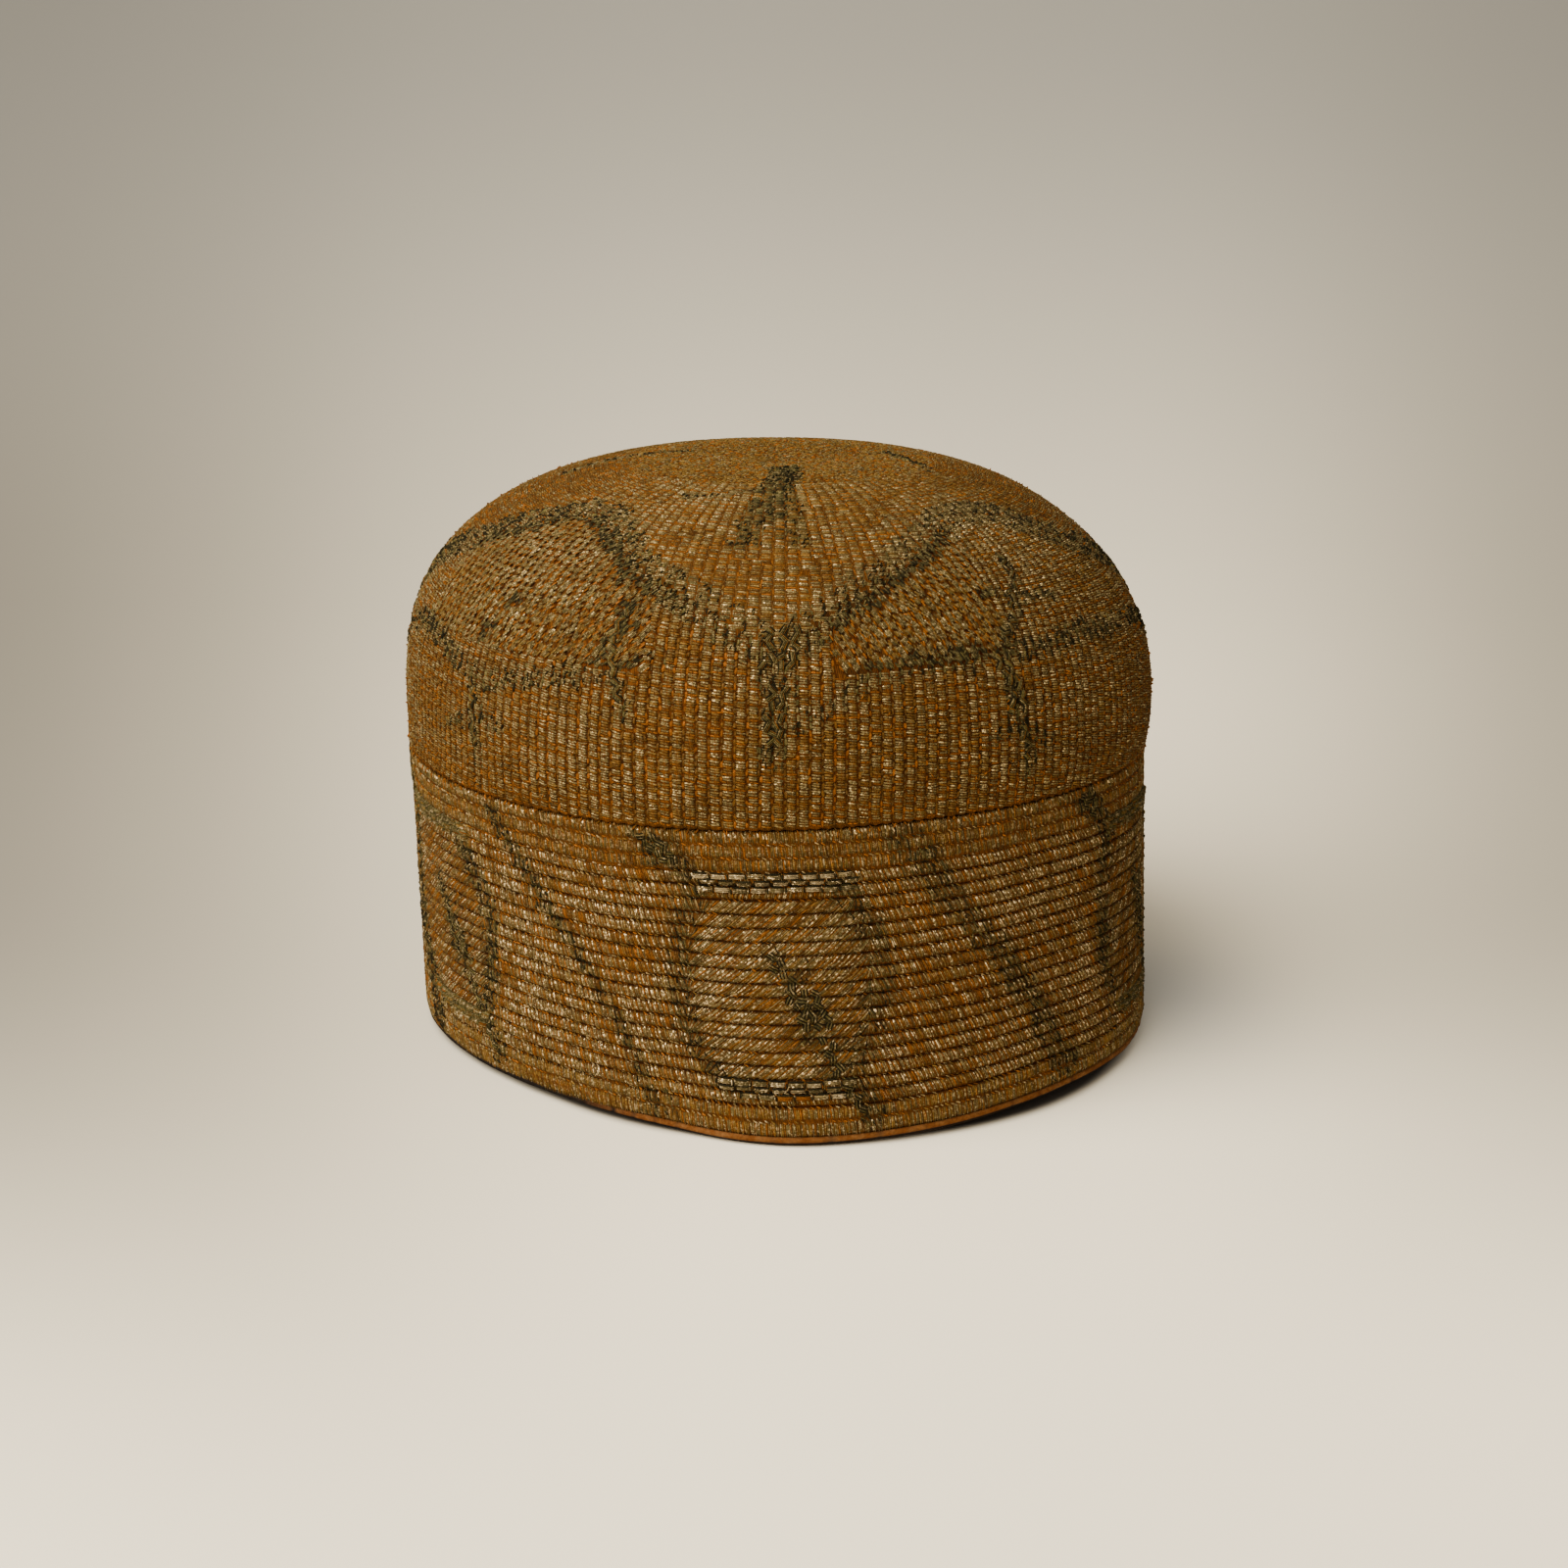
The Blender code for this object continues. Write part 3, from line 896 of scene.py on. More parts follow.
# %% From the chart to distances
def turned_strokes(strokes, turns, left=1.0):
    """Segments of strokes, each repeated at the given turns: angle, way, angle, way, half width.

    Wear leaves a share of their width.
    """
    rows = []
    for around in turns:
        for width, points in strokes:
            for one, two in zip(points, points[1:]):
                rows.append((one[0] + around, one[1], two[0] + around, two[1], left * width / 2))
    rows = np.array(rows, dtype=float)
    rows[:, (0, 2)] = np.radians(rows[:, (0, 2)])
    return rows


def inside_strokes(angle, way, radius, segments):
    """How deep each point lies inside the nearest stroke, in millimetres."""
    best = np.full(len(angle), -1e3)
    for a0, w0, a1, w1, half in segments:
        x0 = ((a0 - angle + math.pi) % (2 * math.pi) - math.pi) * radius
        x1 = x0 + (a1 - a0) * radius
        y0, y1 = w0 - way, w1 - way
        dx, dy = x1 - x0, y1 - y0
        t = np.clip(-(x0 * dx + y0 * dy) / np.maximum(dx * dx + dy * dy, 1e-6), 0, 1)
        best = np.maximum(best, half - np.hypot(x0 + t * dx, y0 + t * dy))
    return best


def drawn_at(angle, way, radius, segments, blur=0.4):
    """True where a point falls in a stroke, with a ragged edge."""
    deep = inside_strokes(angle, way, radius, segments)
    broken = 2.6 * (patches(angle, way, 4, 3.2) - 0.55)
    return deep + broken + rng.normal(0, blur, len(deep)) > 0


# The stem that ends on the left of the front is worn thin
BAND_SEGMENTS = np.concatenate((
    turned_strokes(BAND_STROKES, MEDALLIONS),
    turned_strokes(STEM_STROKES, MEDALLIONS[:-1]),
    turned_strokes(STEM_STROKES, MEDALLIONS[-1:], 0.6),
))
CROWN_SEGMENTS = np.concatenate((
    turned_strokes(CROWN_STROKES, CROWN_TURNS),
    turned_strokes(FRONT_STROKES, FRONT_TURNS),
    turned_strokes(SIDE_STROKES, SIDE_TURNS),
    turned_strokes(TOP_STROKES, (0.0,)),
))
print("segments on the band", len(BAND_SEGMENTS), "and on the crown", len(CROWN_SEGMENTS))

# %% [markdown]
# ## Dyes
# The colours of the threads are few: two silks, bright and tarnished metal, and the olive and the
# near-black of the ornament. Each stitch takes one of them, a little lighter or darker.

# %% The dyes
# Columns: red, green and blue of the dye, and how much of the thread is metal
DYES = np.array((
    (0.123, 0.039, 0.0044, 0.00),
    (0.062, 0.026, 0.0034, 0.05),
    (0.108, 0.074, 0.0260, 0.95),
    (0.073, 0.050, 0.0155, 0.26),
    (0.044, 0.033, 0.0085, 0.10),
    (0.011, 0.0083, 0.0025, 0.00),
    (0.095, 0.050, 0.0085, 0.10),
    (0.130, 0.082, 0.0270, 0.30),
    (0.195, 0.138, 0.0620, 0.60),
))
ORANGE, BROWN, GOLD, GREY, OLIVE, BLACK, OCHRE, STRAW, CREAM = range(9)


def dyed(choice, spread=0.25):
    """Colour and metal of each stitch from its choice of dye."""
    light = np.exp(rng.normal(0.0, spread, len(choice)))[:, None]
    return DYES[choice] * np.concatenate((light, light, light, np.ones_like(light)), axis=1)


def pick(level, limits, dyes):
    """The dye of each stitch from its level: the first dye under the first limit, and so on."""
    return np.array(dyes)[np.searchsorted(np.array(limits), level)]


def any_of(number, *dyes):
    """A random dye of these for each stitch."""
    return rng.choice(dyes, number)


def redyed(choice, test, *dyes):
    """The same choice of dyes, but a random dye of these where the test holds."""
    return np.where(test, any_of(len(choice), *dyes), choice)


def either(test, one, two):
    """A random value for each stitch, of the first range where the test holds and else the second."""
    return np.where(test, rng.uniform(*one, len(test)), rng.uniform(*two, len(test)))


def some(stitches, keep):
    """Those of the stitches that are kept."""
    return [part[keep] for part in stitches]


def net(rows, columns):
    """Number of the row and of the column at each place of a net."""
    return np.repeat(np.arange(rows), columns), np.tile(np.arange(columns), rows)


# %% [markdown]
# ## Threads of the band
# Each cord is wrapped: two metal threads and one of silk go over it side by side, again and again,
# and dive into the grooves. The metal stands up as a bead under the upper edge of the cord and
# catches the light there; its upper end is also dyed brighter, as a painted highlight, and its lower
# end darker, as painted shade. The threads slant down to the right, except inside the medallions,
# where they slant the other way and more. Where the ornament passes, the silk is black instead of
# orange.

# %% Stitches over the cords
BUNDLE = 1.30
STRANDS_IN_BUNDLE = 3
BUNDLES_ROUND = int(2 * math.pi * RADIUS / BUNDLE)
ROW_SHIFT = 0.39
MEDALLION_MIDDLE, MEDALLION_HALF_WIDTH, MEDALLION_HALF_HEIGHT = 36.5, 20.5, 23.0
# How far a strand runs to the right on its way down: in the flat rows, elsewhere, and in medallions
FLAT_RUN, RUN, MEDALLION_RUN = 0.35, 1.2, -3.7


def medallion_part(angle, height):
    """1 well inside a medallion, 0 outside."""
    offsets = np.radians(np.array(MEDALLIONS))
    away = (angle[:, None] - offsets[None] + math.pi) % (2 * math.pi) - math.pi
    x = np.abs(away).min(axis=1) * RADIUS / MEDALLION_HALF_WIDTH
    y = np.abs(height - MEDALLION_MIDDLE) / MEDALLION_HALF_HEIGHT
    return np.clip((1.0 - (x**4 + y**4)) * 3.0, 0, 1)


def rim_cover(angle):
    """How far the lowest threads reach down over the binding. On the left they hide it."""
    return 0.5 + 1.1 * left_part(angle)


def row_height(row, part, angle):
    """Height of a part of a row. The rows next to the seam and the rim lie straight."""
    fade = np.clip(row / 2.0, 0, 1) * np.clip((CORD_ROWS - 1 - row) / 2.0, 0, 1)
    return BAND_TOP - (row + part) * CORD_PITCH + row_wander(angle) * fade


def cord_places(in_bundle):
    """Row, angle and height of the middle of one strand of every bundle."""
    row, bundle = net(CORD_ROWS, BUNDLES_ROUND)
    angle = (bundle + in_bundle / STRANDS_IN_BUNDLE + row * ROW_SHIFT % 1.0) * 2 * math.pi / BUNDLES_ROUND
    angle = angle + rng.normal(0, 0.07, len(row)) / RADIUS
    return row, angle, row_height(row, 0.5, angle)


def over_cord(row, angle, centre, top_reach, low_reach):
    """Ends of strands that pass over a cord, and whether the row is one of the flat ones."""
    number = len(row)
    part = medallion_part(angle, centre)
    flat = (row < FLAT_TOP_ROWS) | (row >= CORD_ROWS - FLAT_LOW_ROWS)
    run = np.where(flat, FLAT_RUN, RUN * (1 - part) + MEDALLION_RUN * part)
    run = run + rng.normal(0, 0.14, number)
    up = rng.uniform(*top_reach, number) * CORD_PITCH + np.where(row == 0, 0.25, 0.0)
    down = rng.uniform(*low_reach, number) * CORD_PITCH + 0.07 * CORD_PITCH * part
    down = down + np.where(row == CORD_ROWS - 1, rim_cover(angle), 0.0)
    start, _ = ends_about(angle, centre, run / 2 / RADIUS, -up)
    _, end = ends_about(angle, centre, run / 2 / RADIUS, -down)
    return start, end, flat


# Painted shade on the lower end of each metal strand, which turns away from the light
IN_SHADE = np.array((0.84, 0.82, 0.78, 0.8))


def at_side(angle):
    """1 at the sides of the hat, where the metal is dyed duller as painted shade, and 0 in front and
    behind.
    """
    return np.clip((np.abs(fold_angle(angle, 180.0)) - 44) / 16, 0, 1)


def metal_over_cords(in_bundle):
    """The metal strands in one place of the bundles."""
    row, angle, centre = cord_places(in_bundle)
    number = len(row)
    start, end, flat = over_cord(row, angle, centre, (0.44, 0.51), (0.44, 0.51))
    height = (0.30 if in_bundle == 1 else 0.22) * np.where(flat, 0.7, 1.0) + rng.uniform(0, 0.12, number)
    width = rng.uniform(0.40, 0.54, number)
    wide = patches(angle, centre, 20, 12)
    local = patches(angle, centre, 4.5, CORD_PITCH)
    # Painted shade: fewer bright dyes at the sides of the hat
    level = 0.35 * wide + 0.65 * local + rng.normal(0, 0.15, number) - 0.11 * at_side(angle)
    # Painted highlight and shade: a strand's upper end takes a brighter dye than its lower end
    upper = pick(level, (0.34, 0.50), (BROWN, GREY, GOLD))
    lower = pick(level, (0.36, 0.50), (BROWN, OCHRE, GREY))
    worn_off = (level < 0.45) & (rng.random(number) < 0.5)
    upper = redyed(upper, worn_off, ORANGE, OCHRE)
    lower = redyed(lower, worn_off, ORANGE, BROWN)
    at_seam = row < FLAT_TOP_ROWS
    at_edges = any_of(number, GREY, OCHRE)
    upper = redyed(np.where(flat, at_edges, upper), at_seam, GREY, BROWN, OCHRE)
    lower = redyed(np.where(flat, at_edges, lower), at_seam, GREY, OLIVE, BROWN)
    at_top, at_foot = (drawn_at(*ends.T, RADIUS, BAND_SEGMENTS) for ends in (start, end))
    upper = redyed(upper, at_top, GREY, GOLD, OLIVE, BROWN)
    lower = redyed(lower, at_foot, OLIVE, OLIVE, GREY, BROWN)
    return row, (start, end, width, height, dyed(upper), dyed(lower) * IN_SHADE)


def silk_over_cords():
    """The silk strands between the bundles, black in the ornament."""
    row, angle, centre = cord_places(0)
    number = len(row)
    start, end, _ = over_cord(row, angle, centre, (0.40, 0.50), (0.42, 0.52))
    upper = any_of(number, ORANGE, ORANGE, OCHRE, BROWN)
    lower = any_of(number, ORANGE, BROWN, OCHRE, GREY)
    upper = redyed(upper, row >= CORD_ROWS - FLAT_LOW_ROWS - 1, OCHRE, OCHRE, ORANGE)
    second = (medallion_part(angle, centre) > 0.5) & (np.arange(number) % BUNDLES_ROUND % 2 == 1)
    upper = redyed(upper, second, GREY, ORANGE, GREY, GOLD)
    lower = redyed(lower, second, GREY, BROWN, OCHRE)
    at_top, at_foot = (drawn_at(*ends.T, RADIUS, BAND_SEGMENTS) for ends in (start, end))
    drawn = at_top | at_foot
    upper = dyed(redyed(upper, at_top, BLACK, BLACK, OLIVE, BROWN))
    lower = dyed(redyed(lower, at_foot, BLACK, OLIVE, BROWN))
    height = either(drawn, (0.30, 0.48), (0.10, 0.28))
    width = either(drawn, (0.42, 0.56), (0.32, 0.48))
    return start, end, width, height, upper, lower


first_row, first = metal_over_cords(1)
second_row, second = metal_over_cords(2)
row = np.concatenate((first_row, second_row))
metal = [np.concatenate(pair) for pair in zip(first, second)]
CORD_STATIONS = (0.13, 0.65)
band_threads = [
    lay_stitches("band_metal_upper", band_surface, some(metal, row < CORD_ROWS // 2), CORD_STATIONS),
    lay_stitches("band_metal_lower", band_surface, some(metal, row >= CORD_ROWS // 2), CORD_STATIONS),
    lay_stitches("band_silk", band_surface, silk_over_cords(), (0.2, 0.75)),
]


# %% [markdown]
# The sewing thread that holds the wrapped cords down shows in the grooves as short slanting dashes.
# They could be a texture, but as small ridges they also catch the light and break the dark line.

# %% Couching stitches in the grooves
def groove_stitches():
    """One slanting silk stitch for each bundle, in the groove under its row."""
    row, bundle = net(CORD_ROWS - 1, BUNDLES_ROUND)
    row, number = row + 1, len(row)
    angle = bundle * 2 * math.pi / BUNDLES_ROUND + rng.uniform(-0.15, 0.15, number) / RADIUS
    angle = angle + (row * ROW_SHIFT % 1.0) * BUNDLE / RADIUS
    way = row_height(row, 0.0, angle) + rng.normal(0, 0.10, number)
    half = rng.uniform(0.50, 0.70, number)
    tilt = rng.normal(0.30, 0.07, number)
    start, end = ends_about(angle, way, half / RADIUS, -tilt)
    deep = inside_strokes(angle, way, RADIUS, BAND_SEGMENTS)
    part = medallion_part(angle, way)
    choice = redyed(any_of(number, STRAW, OCHRE, ORANGE, ORANGE), part > 0.3, ORANGE, ORANGE, BROWN)
    dye = dyed(redyed(choice, deep > 0.5, BLACK, OLIVE, OCHRE), 0.3)
    width = rng.uniform(0.30, 0.42, number)
    height = either(part > 0.3, (0.22, 0.36), (0.32, 0.50))
    keep = rng.random(number) < np.where(part > 0.3, 0.45, 0.88)
    return some((start, end, width, height, dye, dye), keep)


groove_threads = lay_stitches("band_groove_stitches", band_surface, groove_stitches(), SHORT)

# %% [markdown]
# ## Threads of the crown
# On the crown short threads cross each rib. Two of metal and one of silk make a cell, dyed bright on
# its left as a painted highlight and grey on its right as painted shade, and orange silk also fills
# the grooves between the ribs. In the petals under the scroll small pads of slanting threads lie
# flat. Inside the scroll they cross finer ribs.

# %% Stitches over the ribs
BAR_PITCH = 0.56
BARS_IN_CELL = 3


def petal_part(angle, way):
    """True in the petals between the scroll and the garland, on each side of two low points."""
    away = fold_angle(angle, 180.0)
    beside = ((away > -69) & (away < -19)) | ((away > 8) & (away < 37))
    return (way < scroll_way(angle) - 2) & (way > 33.0 + 0.03 * np.abs(away)) & beside


def rib_cells(pitch, between_ribs):
    """Angle, way up, half width in radians and number of its row for every cell of every rib."""
    cells = []
    for count in sorted({LOW_RIBS, *(ribs for _, ribs in UPPER_RIBS)}):
        step, rib = net(int(STIPPLED_TOP / pitch), count)
        way = 0.5 + (step + 0.5) * pitch
        angle = (rib + 0.5 * between_ribs) * 2 * math.pi / count
        keep = (rib_count(angle, way) == count) & ~petal_part(angle, way)
        half = np.full(len(way), math.pi / count)
        cells.append(np.stack((angle, way, half, step), axis=1)[keep])
    return np.concatenate(cells).T


def crown_stitches():
    """The stitches that cross the ribs, with their way up and whether they are silk."""
    angle, way, half, step = rib_cells(BAR_PITCH, False)
    number = len(angle)
    upper = way > scroll_way(angle)
    silk = (step % BARS_IN_CELL == 0) & (rng.random(number) < np.where(upper, 0.85, 0.6))
    radius = np.maximum(crown_share(way), 0.02) * RADIUS
    way = way + rng.normal(0, 0.06, number) + 0.25 * patches(angle, way, 12, 40)
    slope = rng.normal(0.15, 0.08, number)
    fill = 0.72 + 0.18 * patches(angle, way, 5, 8) + np.where(upper, 0.16, 0.0)
    reach = half * np.where(silk, rng.uniform(0.85, 1.1, number), fill * rng.uniform(0.9, 1.1, number))
    shift = rng.normal(-0.04, 0.07, number) * half
    start, end = ends_about(angle + shift, way, reach, -slope)
    height = either(silk, (0.08, 0.26), (0.20, 0.38))
    width = either(silk, (0.36, 0.50), (0.44, 0.58))

    # Painted shade: fewer bright dyes higher up and at the sides of the hat
    level = 0.30 * patches(angle, way, 24, 20) + 0.5 * patches(angle, way, 2.65, 1.1)
    level = level + rng.normal(0.05, 0.16, number) - 0.13 * upper - 0.13 * at_side(angle)
    # Painted highlight on the left of each stitch, towards the light, and painted shade on its right
    left = pick(level, (0.22, 0.49), (OCHRE, GREY, GOLD))
    right = pick(level, (0.24, 0.40), (BROWN, OCHRE, GREY))
    left = redyed(left, silk, ORANGE, ORANGE, OCHRE, BROWN)
    right = redyed(right, silk, ORANGE, ORANGE, BROWN)
    drawn = drawn_at(angle, way, radius, CROWN_SEGMENTS, 0.5)
    from_front = fold_angle(angle, 360.0)
    leaf = drawn & (way > 66) & (np.abs(from_front) < 12)
    ornament = (
        (drawn & silk, (OLIVE, GREY, OCHRE), (BLACK, OLIVE, OLIVE, GREY)),
        (drawn & ~silk, (GREY, GREY, GOLD), (OLIVE, GREY, GREY)),
        (leaf, (OLIVE, OLIVE, BROWN), (BLACK, OLIVE)),
        (leaf & (from_front > 0.8) & (way < 92), (OLIVE, GREY, BROWN), (OLIVE, BROWN, OCHRE)),
    )
    for test, left_dyes, right_dyes in ornament:
        left, right = redyed(left, test, *left_dyes), redyed(right, test, *right_dyes)
    return way, silk, (start, end, width, height, dyed(left), dyed(right))


way, silk, stitches = crown_stitches()
low_metal = ~silk & (way < 40.0)
crown_threads = [
    lay_stitches("crown_metal_lower", crown_surface, some(stitches, low_metal), (0.16, 0.8)),
    lay_stitches("crown_metal_upper", crown_surface, some(stitches, ~silk & ~low_metal), (0.2, 0.75)),
    lay_stitches("crown_silk", crown_surface, some(stitches, silk), FLAT),
]


# %% [markdown]
# Thick orange floss fills the grooves between the ribs, and gives the crown its colour from afar. It
# is laid along the groove in overlapping lengths, lower and thinner where the ribs are fine.

# %% Orange silk between the ribs
FLOSS_PITCH = 1.68


def silk_between_ribs():
    """Thick floss that fills the grooves between the ribs."""
    angle, way, _, _ = rib_cells(FLOSS_PITCH, True)
    number = len(angle)
    upper = way > scroll_way(angle)
    radius = crown_share(way) * RADIUS
    way = way + rng.uniform(-0.3, 0.3, number)
    half = rng.uniform(0.65, 1.05, number)
    sway = rng.normal(0, 0.16, (2, number)) / radius
    start = np.stack((angle + sway[0], np.maximum(way - half, 0.3)), axis=1)
    end = np.stack((angle + sway[1], way + half), axis=1)
    drawn = drawn_at(angle, way, radius, CROWN_SEGMENTS)
    dye = dyed(redyed(any_of(number, ORANGE, BROWN, BROWN), drawn, BLACK, OLIVE, OLIVE, GREY), 0.16)
    width = either(upper, (0.45, 0.70), (0.65, 0.95))
    height = either(upper, (0.20, 0.32), (0.34, 0.50))
    return start, end, width, height, dye, dye


rib_silk = lay_stitches("silk_between_ribs", crown_surface, silk_between_ribs(), SHORT)


# %% [markdown]
# On the very top the ribs run out, and short stitches lie level in rows like a stipple. They are set
# out on a flat net seen from above, because angles crowd together at a pole.

# %% Short stitches on the very top
TOP_REACH = 40.0


def on_the_top(x, y):
    """Angle and way up of a point of the top, from its place seen from above in millimetres."""
    share = np.hypot(x, y) / RADIUS
    return np.stack((np.arctan2(x, -y), np.interp(-share, -LINE_SHARE, LINE_WAY)), axis=1)


def top_stitches():
    """Rows of short stitches that run across the top without any ribs."""
    places_up = np.arange(-TOP_REACH, TOP_REACH, 0.85)
    places_across = np.arange(-TOP_REACH, TOP_REACH, 1.15)
    row, column = net(len(places_up), len(places_across))
    x, y = places_across[column] + 0.58 * (row % 2), places_up[row]
    x, y = x + rng.normal(0, 0.15, len(x)), y + rng.normal(0, 0.12, len(y)) + 1.2 * np.sin(x / 9.0)
    place = on_the_top(x, y)
    keep = place[:, 1] > STIPPLED_TOP - 1.0 + rng.normal(0, 1.0, len(x))
    x, y, place = x[keep], y[keep], place[keep]
    number = len(x)
    turn = rng.normal(0.15, 0.45, number)
    half = rng.uniform(0.45, 0.75, number)
    dx, dy = half * np.cos(turn), half * np.sin(turn)
    start, end = on_the_top(x - dx, y - dy), on_the_top(x + dx, y + dy)
    end[:, 0] = start[:, 0] + (end[:, 0] - start[:, 0] + math.pi) % (2 * math.pi) - math.pi
    radius = np.maximum(crown_share(place[:, 1]), 0.02) * RADIUS
    drawn = drawn_at(*place.T, radius, CROWN_SEGMENTS)
    choice = any_of(number, ORANGE, OCHRE, OCHRE, OCHRE, GREY)
    dye = dyed(redyed(choice, drawn, BLACK, OLIVE, OLIVE, GREY), 0.2)
    return start, end, rng.uniform(0.40, 0.60, number), rng.uniform(0.14, 0.30, number), dye, dye


def dome_surface(angle, way):
    """The crown without its ribs, just clear of them."""
    point, out = with_normals(crown_form, angle, way)
    return point + out * RIB_CREST, out


top_threads = lay_stitches("top_threads", dome_surface, top_stitches(), SHORT)


# %% [markdown]
# The petals are filled with small pads: four fine strands of metal between two of orange silk. The
# pads are staggered like bricks and lean towards the middle of the hat on both sides.

# %% Slanting stitches of the petals
PAD_ACROSS, PAD_UP = 2.40, 1.75
STRAND_PITCH = 0.36


def petal_pads():
    """Angle and way up of small pads of thread, staggered like bricks."""
    rows = []
    for level in range(int(45 / PAD_UP)):
        way = 31.5 + level * PAD_UP
        columns = int(2 * math.pi * RADIUS * crown_share(way) / PAD_ACROSS)
        angle = (np.arange(columns) + 0.5 * (level % 2)) * 2 * math.pi / columns
        rows.append(np.stack((angle, np.full(columns, way)), axis=1))
    angle, way = np.concatenate(rows).T
    keep = petal_part(angle, way)
    angle, way = angle[keep], way[keep]
    return angle + rng.normal(0, 0.22, len(way)) / RADIUS, way + rng.normal(0, 0.16, len(way))


def petal_stitches():
    """Four slanting strands of metal for each pad, with orange silk on both sides of them."""
    angle, way = petal_pads()
    pads = len(way)
    radius = crown_share(way) * RADIUS
    lean = np.where(np.sin(angle) < 0, math.radians(50), math.radians(124)) + rng.normal(0, 0.10, pads)
    level = 0.30 * patches(angle, way, 14, 10) + 0.4 * rng.random(pads)
    drawn = drawn_at(angle, way, radius, CROWN_SEGMENTS, 0.5)
    parts = []
    for k in np.arange(-2.5, 3.0):
        silk = abs(k) > 2
        half = rng.uniform(0.60, 0.95, pads) if silk else rng.uniform(0.90, 1.20, pads) - 0.06 * abs(k)
        slide = rng.normal(0.7 if silk else 0.0, 0.24, pads)
        x = np.cos(lean) * slide - np.sin(lean) * k * STRAND_PITCH
        y = np.sin(lean) * slide + np.cos(lean) * k * STRAND_PITCH
        start, end = leaning_ends(angle + x / radius, way + y, radius, lean, half)
        # Painted highlight: the upper end of each metal strand takes a brighter dye than its lower end
        choice = pick(level + rng.normal(0.06, 0.13, pads), (0.24, 0.62), (OCHRE, GREY, GOLD))
        low = pick(level + rng.normal(0, 0.13, pads), (0.22, 0.40), (BROWN, OLIVE, GREY))
        if silk:
            choice = low = any_of(pads, ORANGE, ORANGE, BROWN, OCHRE)
        choice, low = redyed(choice, drawn, OLIVE, GREY, BLACK), redyed(low, drawn, OLIVE, BLACK)
        width = rng.uniform(0.42, 0.56, pads) if silk else rng.uniform(0.33, 0.42, pads)
        height = rng.uniform(0.10, 0.18, pads) if silk else rng.uniform(0.14, 0.24, pads)
        parts.append((start, end, width, height, dyed(low, 0.2), dyed(choice, 0.2)))
    return [np.concatenate(part) for part in zip(*parts)]


petal_threads = lay_stitches("petal_threads", dome_surface, petal_stitches(), FLAT)

# %% [markdown]
# ## The dark stitches of the scroll
# Short black stitches lie over the cells of the scroll, staggered like bricks, along its course.
# Where two arms meet, long olive threads fan out over a dark bed.

# %% Staggered dark stitches
DARK_ACROSS, DARK_UP = 1.2, 1.0


def dark_stitches(segments, low, high, share_of, lean_of):
    """Short thin stitches on a staggered net, kept inside the strokes."""
    columns = int(2 * math.pi * RADIUS / DARK_ACROSS)
    level, column = net(int((high - low) / DARK_UP), columns)
    angle = (column + 0.5 * (level % 2)) * 2 * math.pi / columns
    way = low + level * DARK_UP + rng.uniform(-0.25, 0.25, len(level))
    angle = angle + rng.uniform(-0.3, 0.3, len(level)) / RADIUS
    radius = np.maximum(share_of(way), 0.05) * RADIUS
    share = (0.15 + 0.55 * patches(angle, way, 9, 7)) * radius / RADIUS
    deep = inside_strokes(angle, way, radius, segments)
    keep = (deep + rng.normal(0, 0.5, len(way)) > 0.2) & (rng.random(len(way)) < share)
    angle, way, radius = angle[keep], way[keep], radius[keep]
    number = len(way)
    lean = lean_of(way) + rng.normal(0, 0.25, number)
    half = rng.uniform(0.45, 0.90, number)
    start, end = leaning_ends(angle, way, radius, lean, half)
    dye = dyed(any_of(number, BLACK, BLACK, BLACK, BLACK, OLIVE), 0.4)
    return start, end, rng.uniform(0.28, 0.42, number), rng.uniform(0.44, 0.64, number), dye, dye


SCROLL_FOOT = 42


def leaning(way):
    """The dark stitches of the scroll rise to the right; lower down they are upright."""
    return np.radians(np.where(way > SCROLL_FOOT, 55.0, 82.0))


def falling(height):
    """The dark stitches of the band fall to the right."""
    return np.radians(np.full(len(height), 117.0))


band_dark = dark_stitches(BAND_SEGMENTS, 3.5, 71.5, np.ones_like, falling)
band_ornament = lay_stitches("band_ornament", band_surface, band_dark, SHORT)
crown_dark = dark_stitches(CROWN_SEGMENTS, 6.0, 122.0, crown_share, leaning)
crown_ornament = lay_stitches("crown_ornament", crown_surface, crown_dark, SHORT)

# %% [markdown]
# Stems and sprigs are worked in long olive threads, laid in small sheaves to the left and to the
# right in turn, like an ear of wheat, over the dark bed.

# %% Sheaves along the stems
# Each stem: number of sheaves side by side, and its points, from its tip to its foot
CROWN_STEMS = (
    (3, ((0.6, 44), (0.2, 38), (-0.4, 33))),
    (2, ((-0.2, 31), (-0.8, 25), (-0.8, 17))),
)
FRONT_STEMS = (
    (1, ((44, 58), (42.5, 50), (39.5, 43), (35.5, 35.7))),
    (2, ((35, 34), (36, 25.4), (37, 20))),
    (1, ((37.5, 18), (38.5, 9))),
    (1, ((-23.5, 47), (-24.5, 38.3), (-23, 31.2), (-21.8, 25))),
    (1, ((-49.5, 25), (-48.5, 17), (-47.8, 9))),
)
BAND_STEMS = (
    (1, ((-1, 44.5), (3, 36))),
    (3, ((3, 36), (6, 26))),
    (1, ((6.5, 25), (9, 15))),
    (2, ((-18, 70.5), (-14, 64))),
    (1, ((9.5, 14), (12.8, 6))),
)
SHEAF_LENGTH, BEAT, LANE_WIDTH, THREADS_APART = 2.8, 1.7, 2.6, 0.34


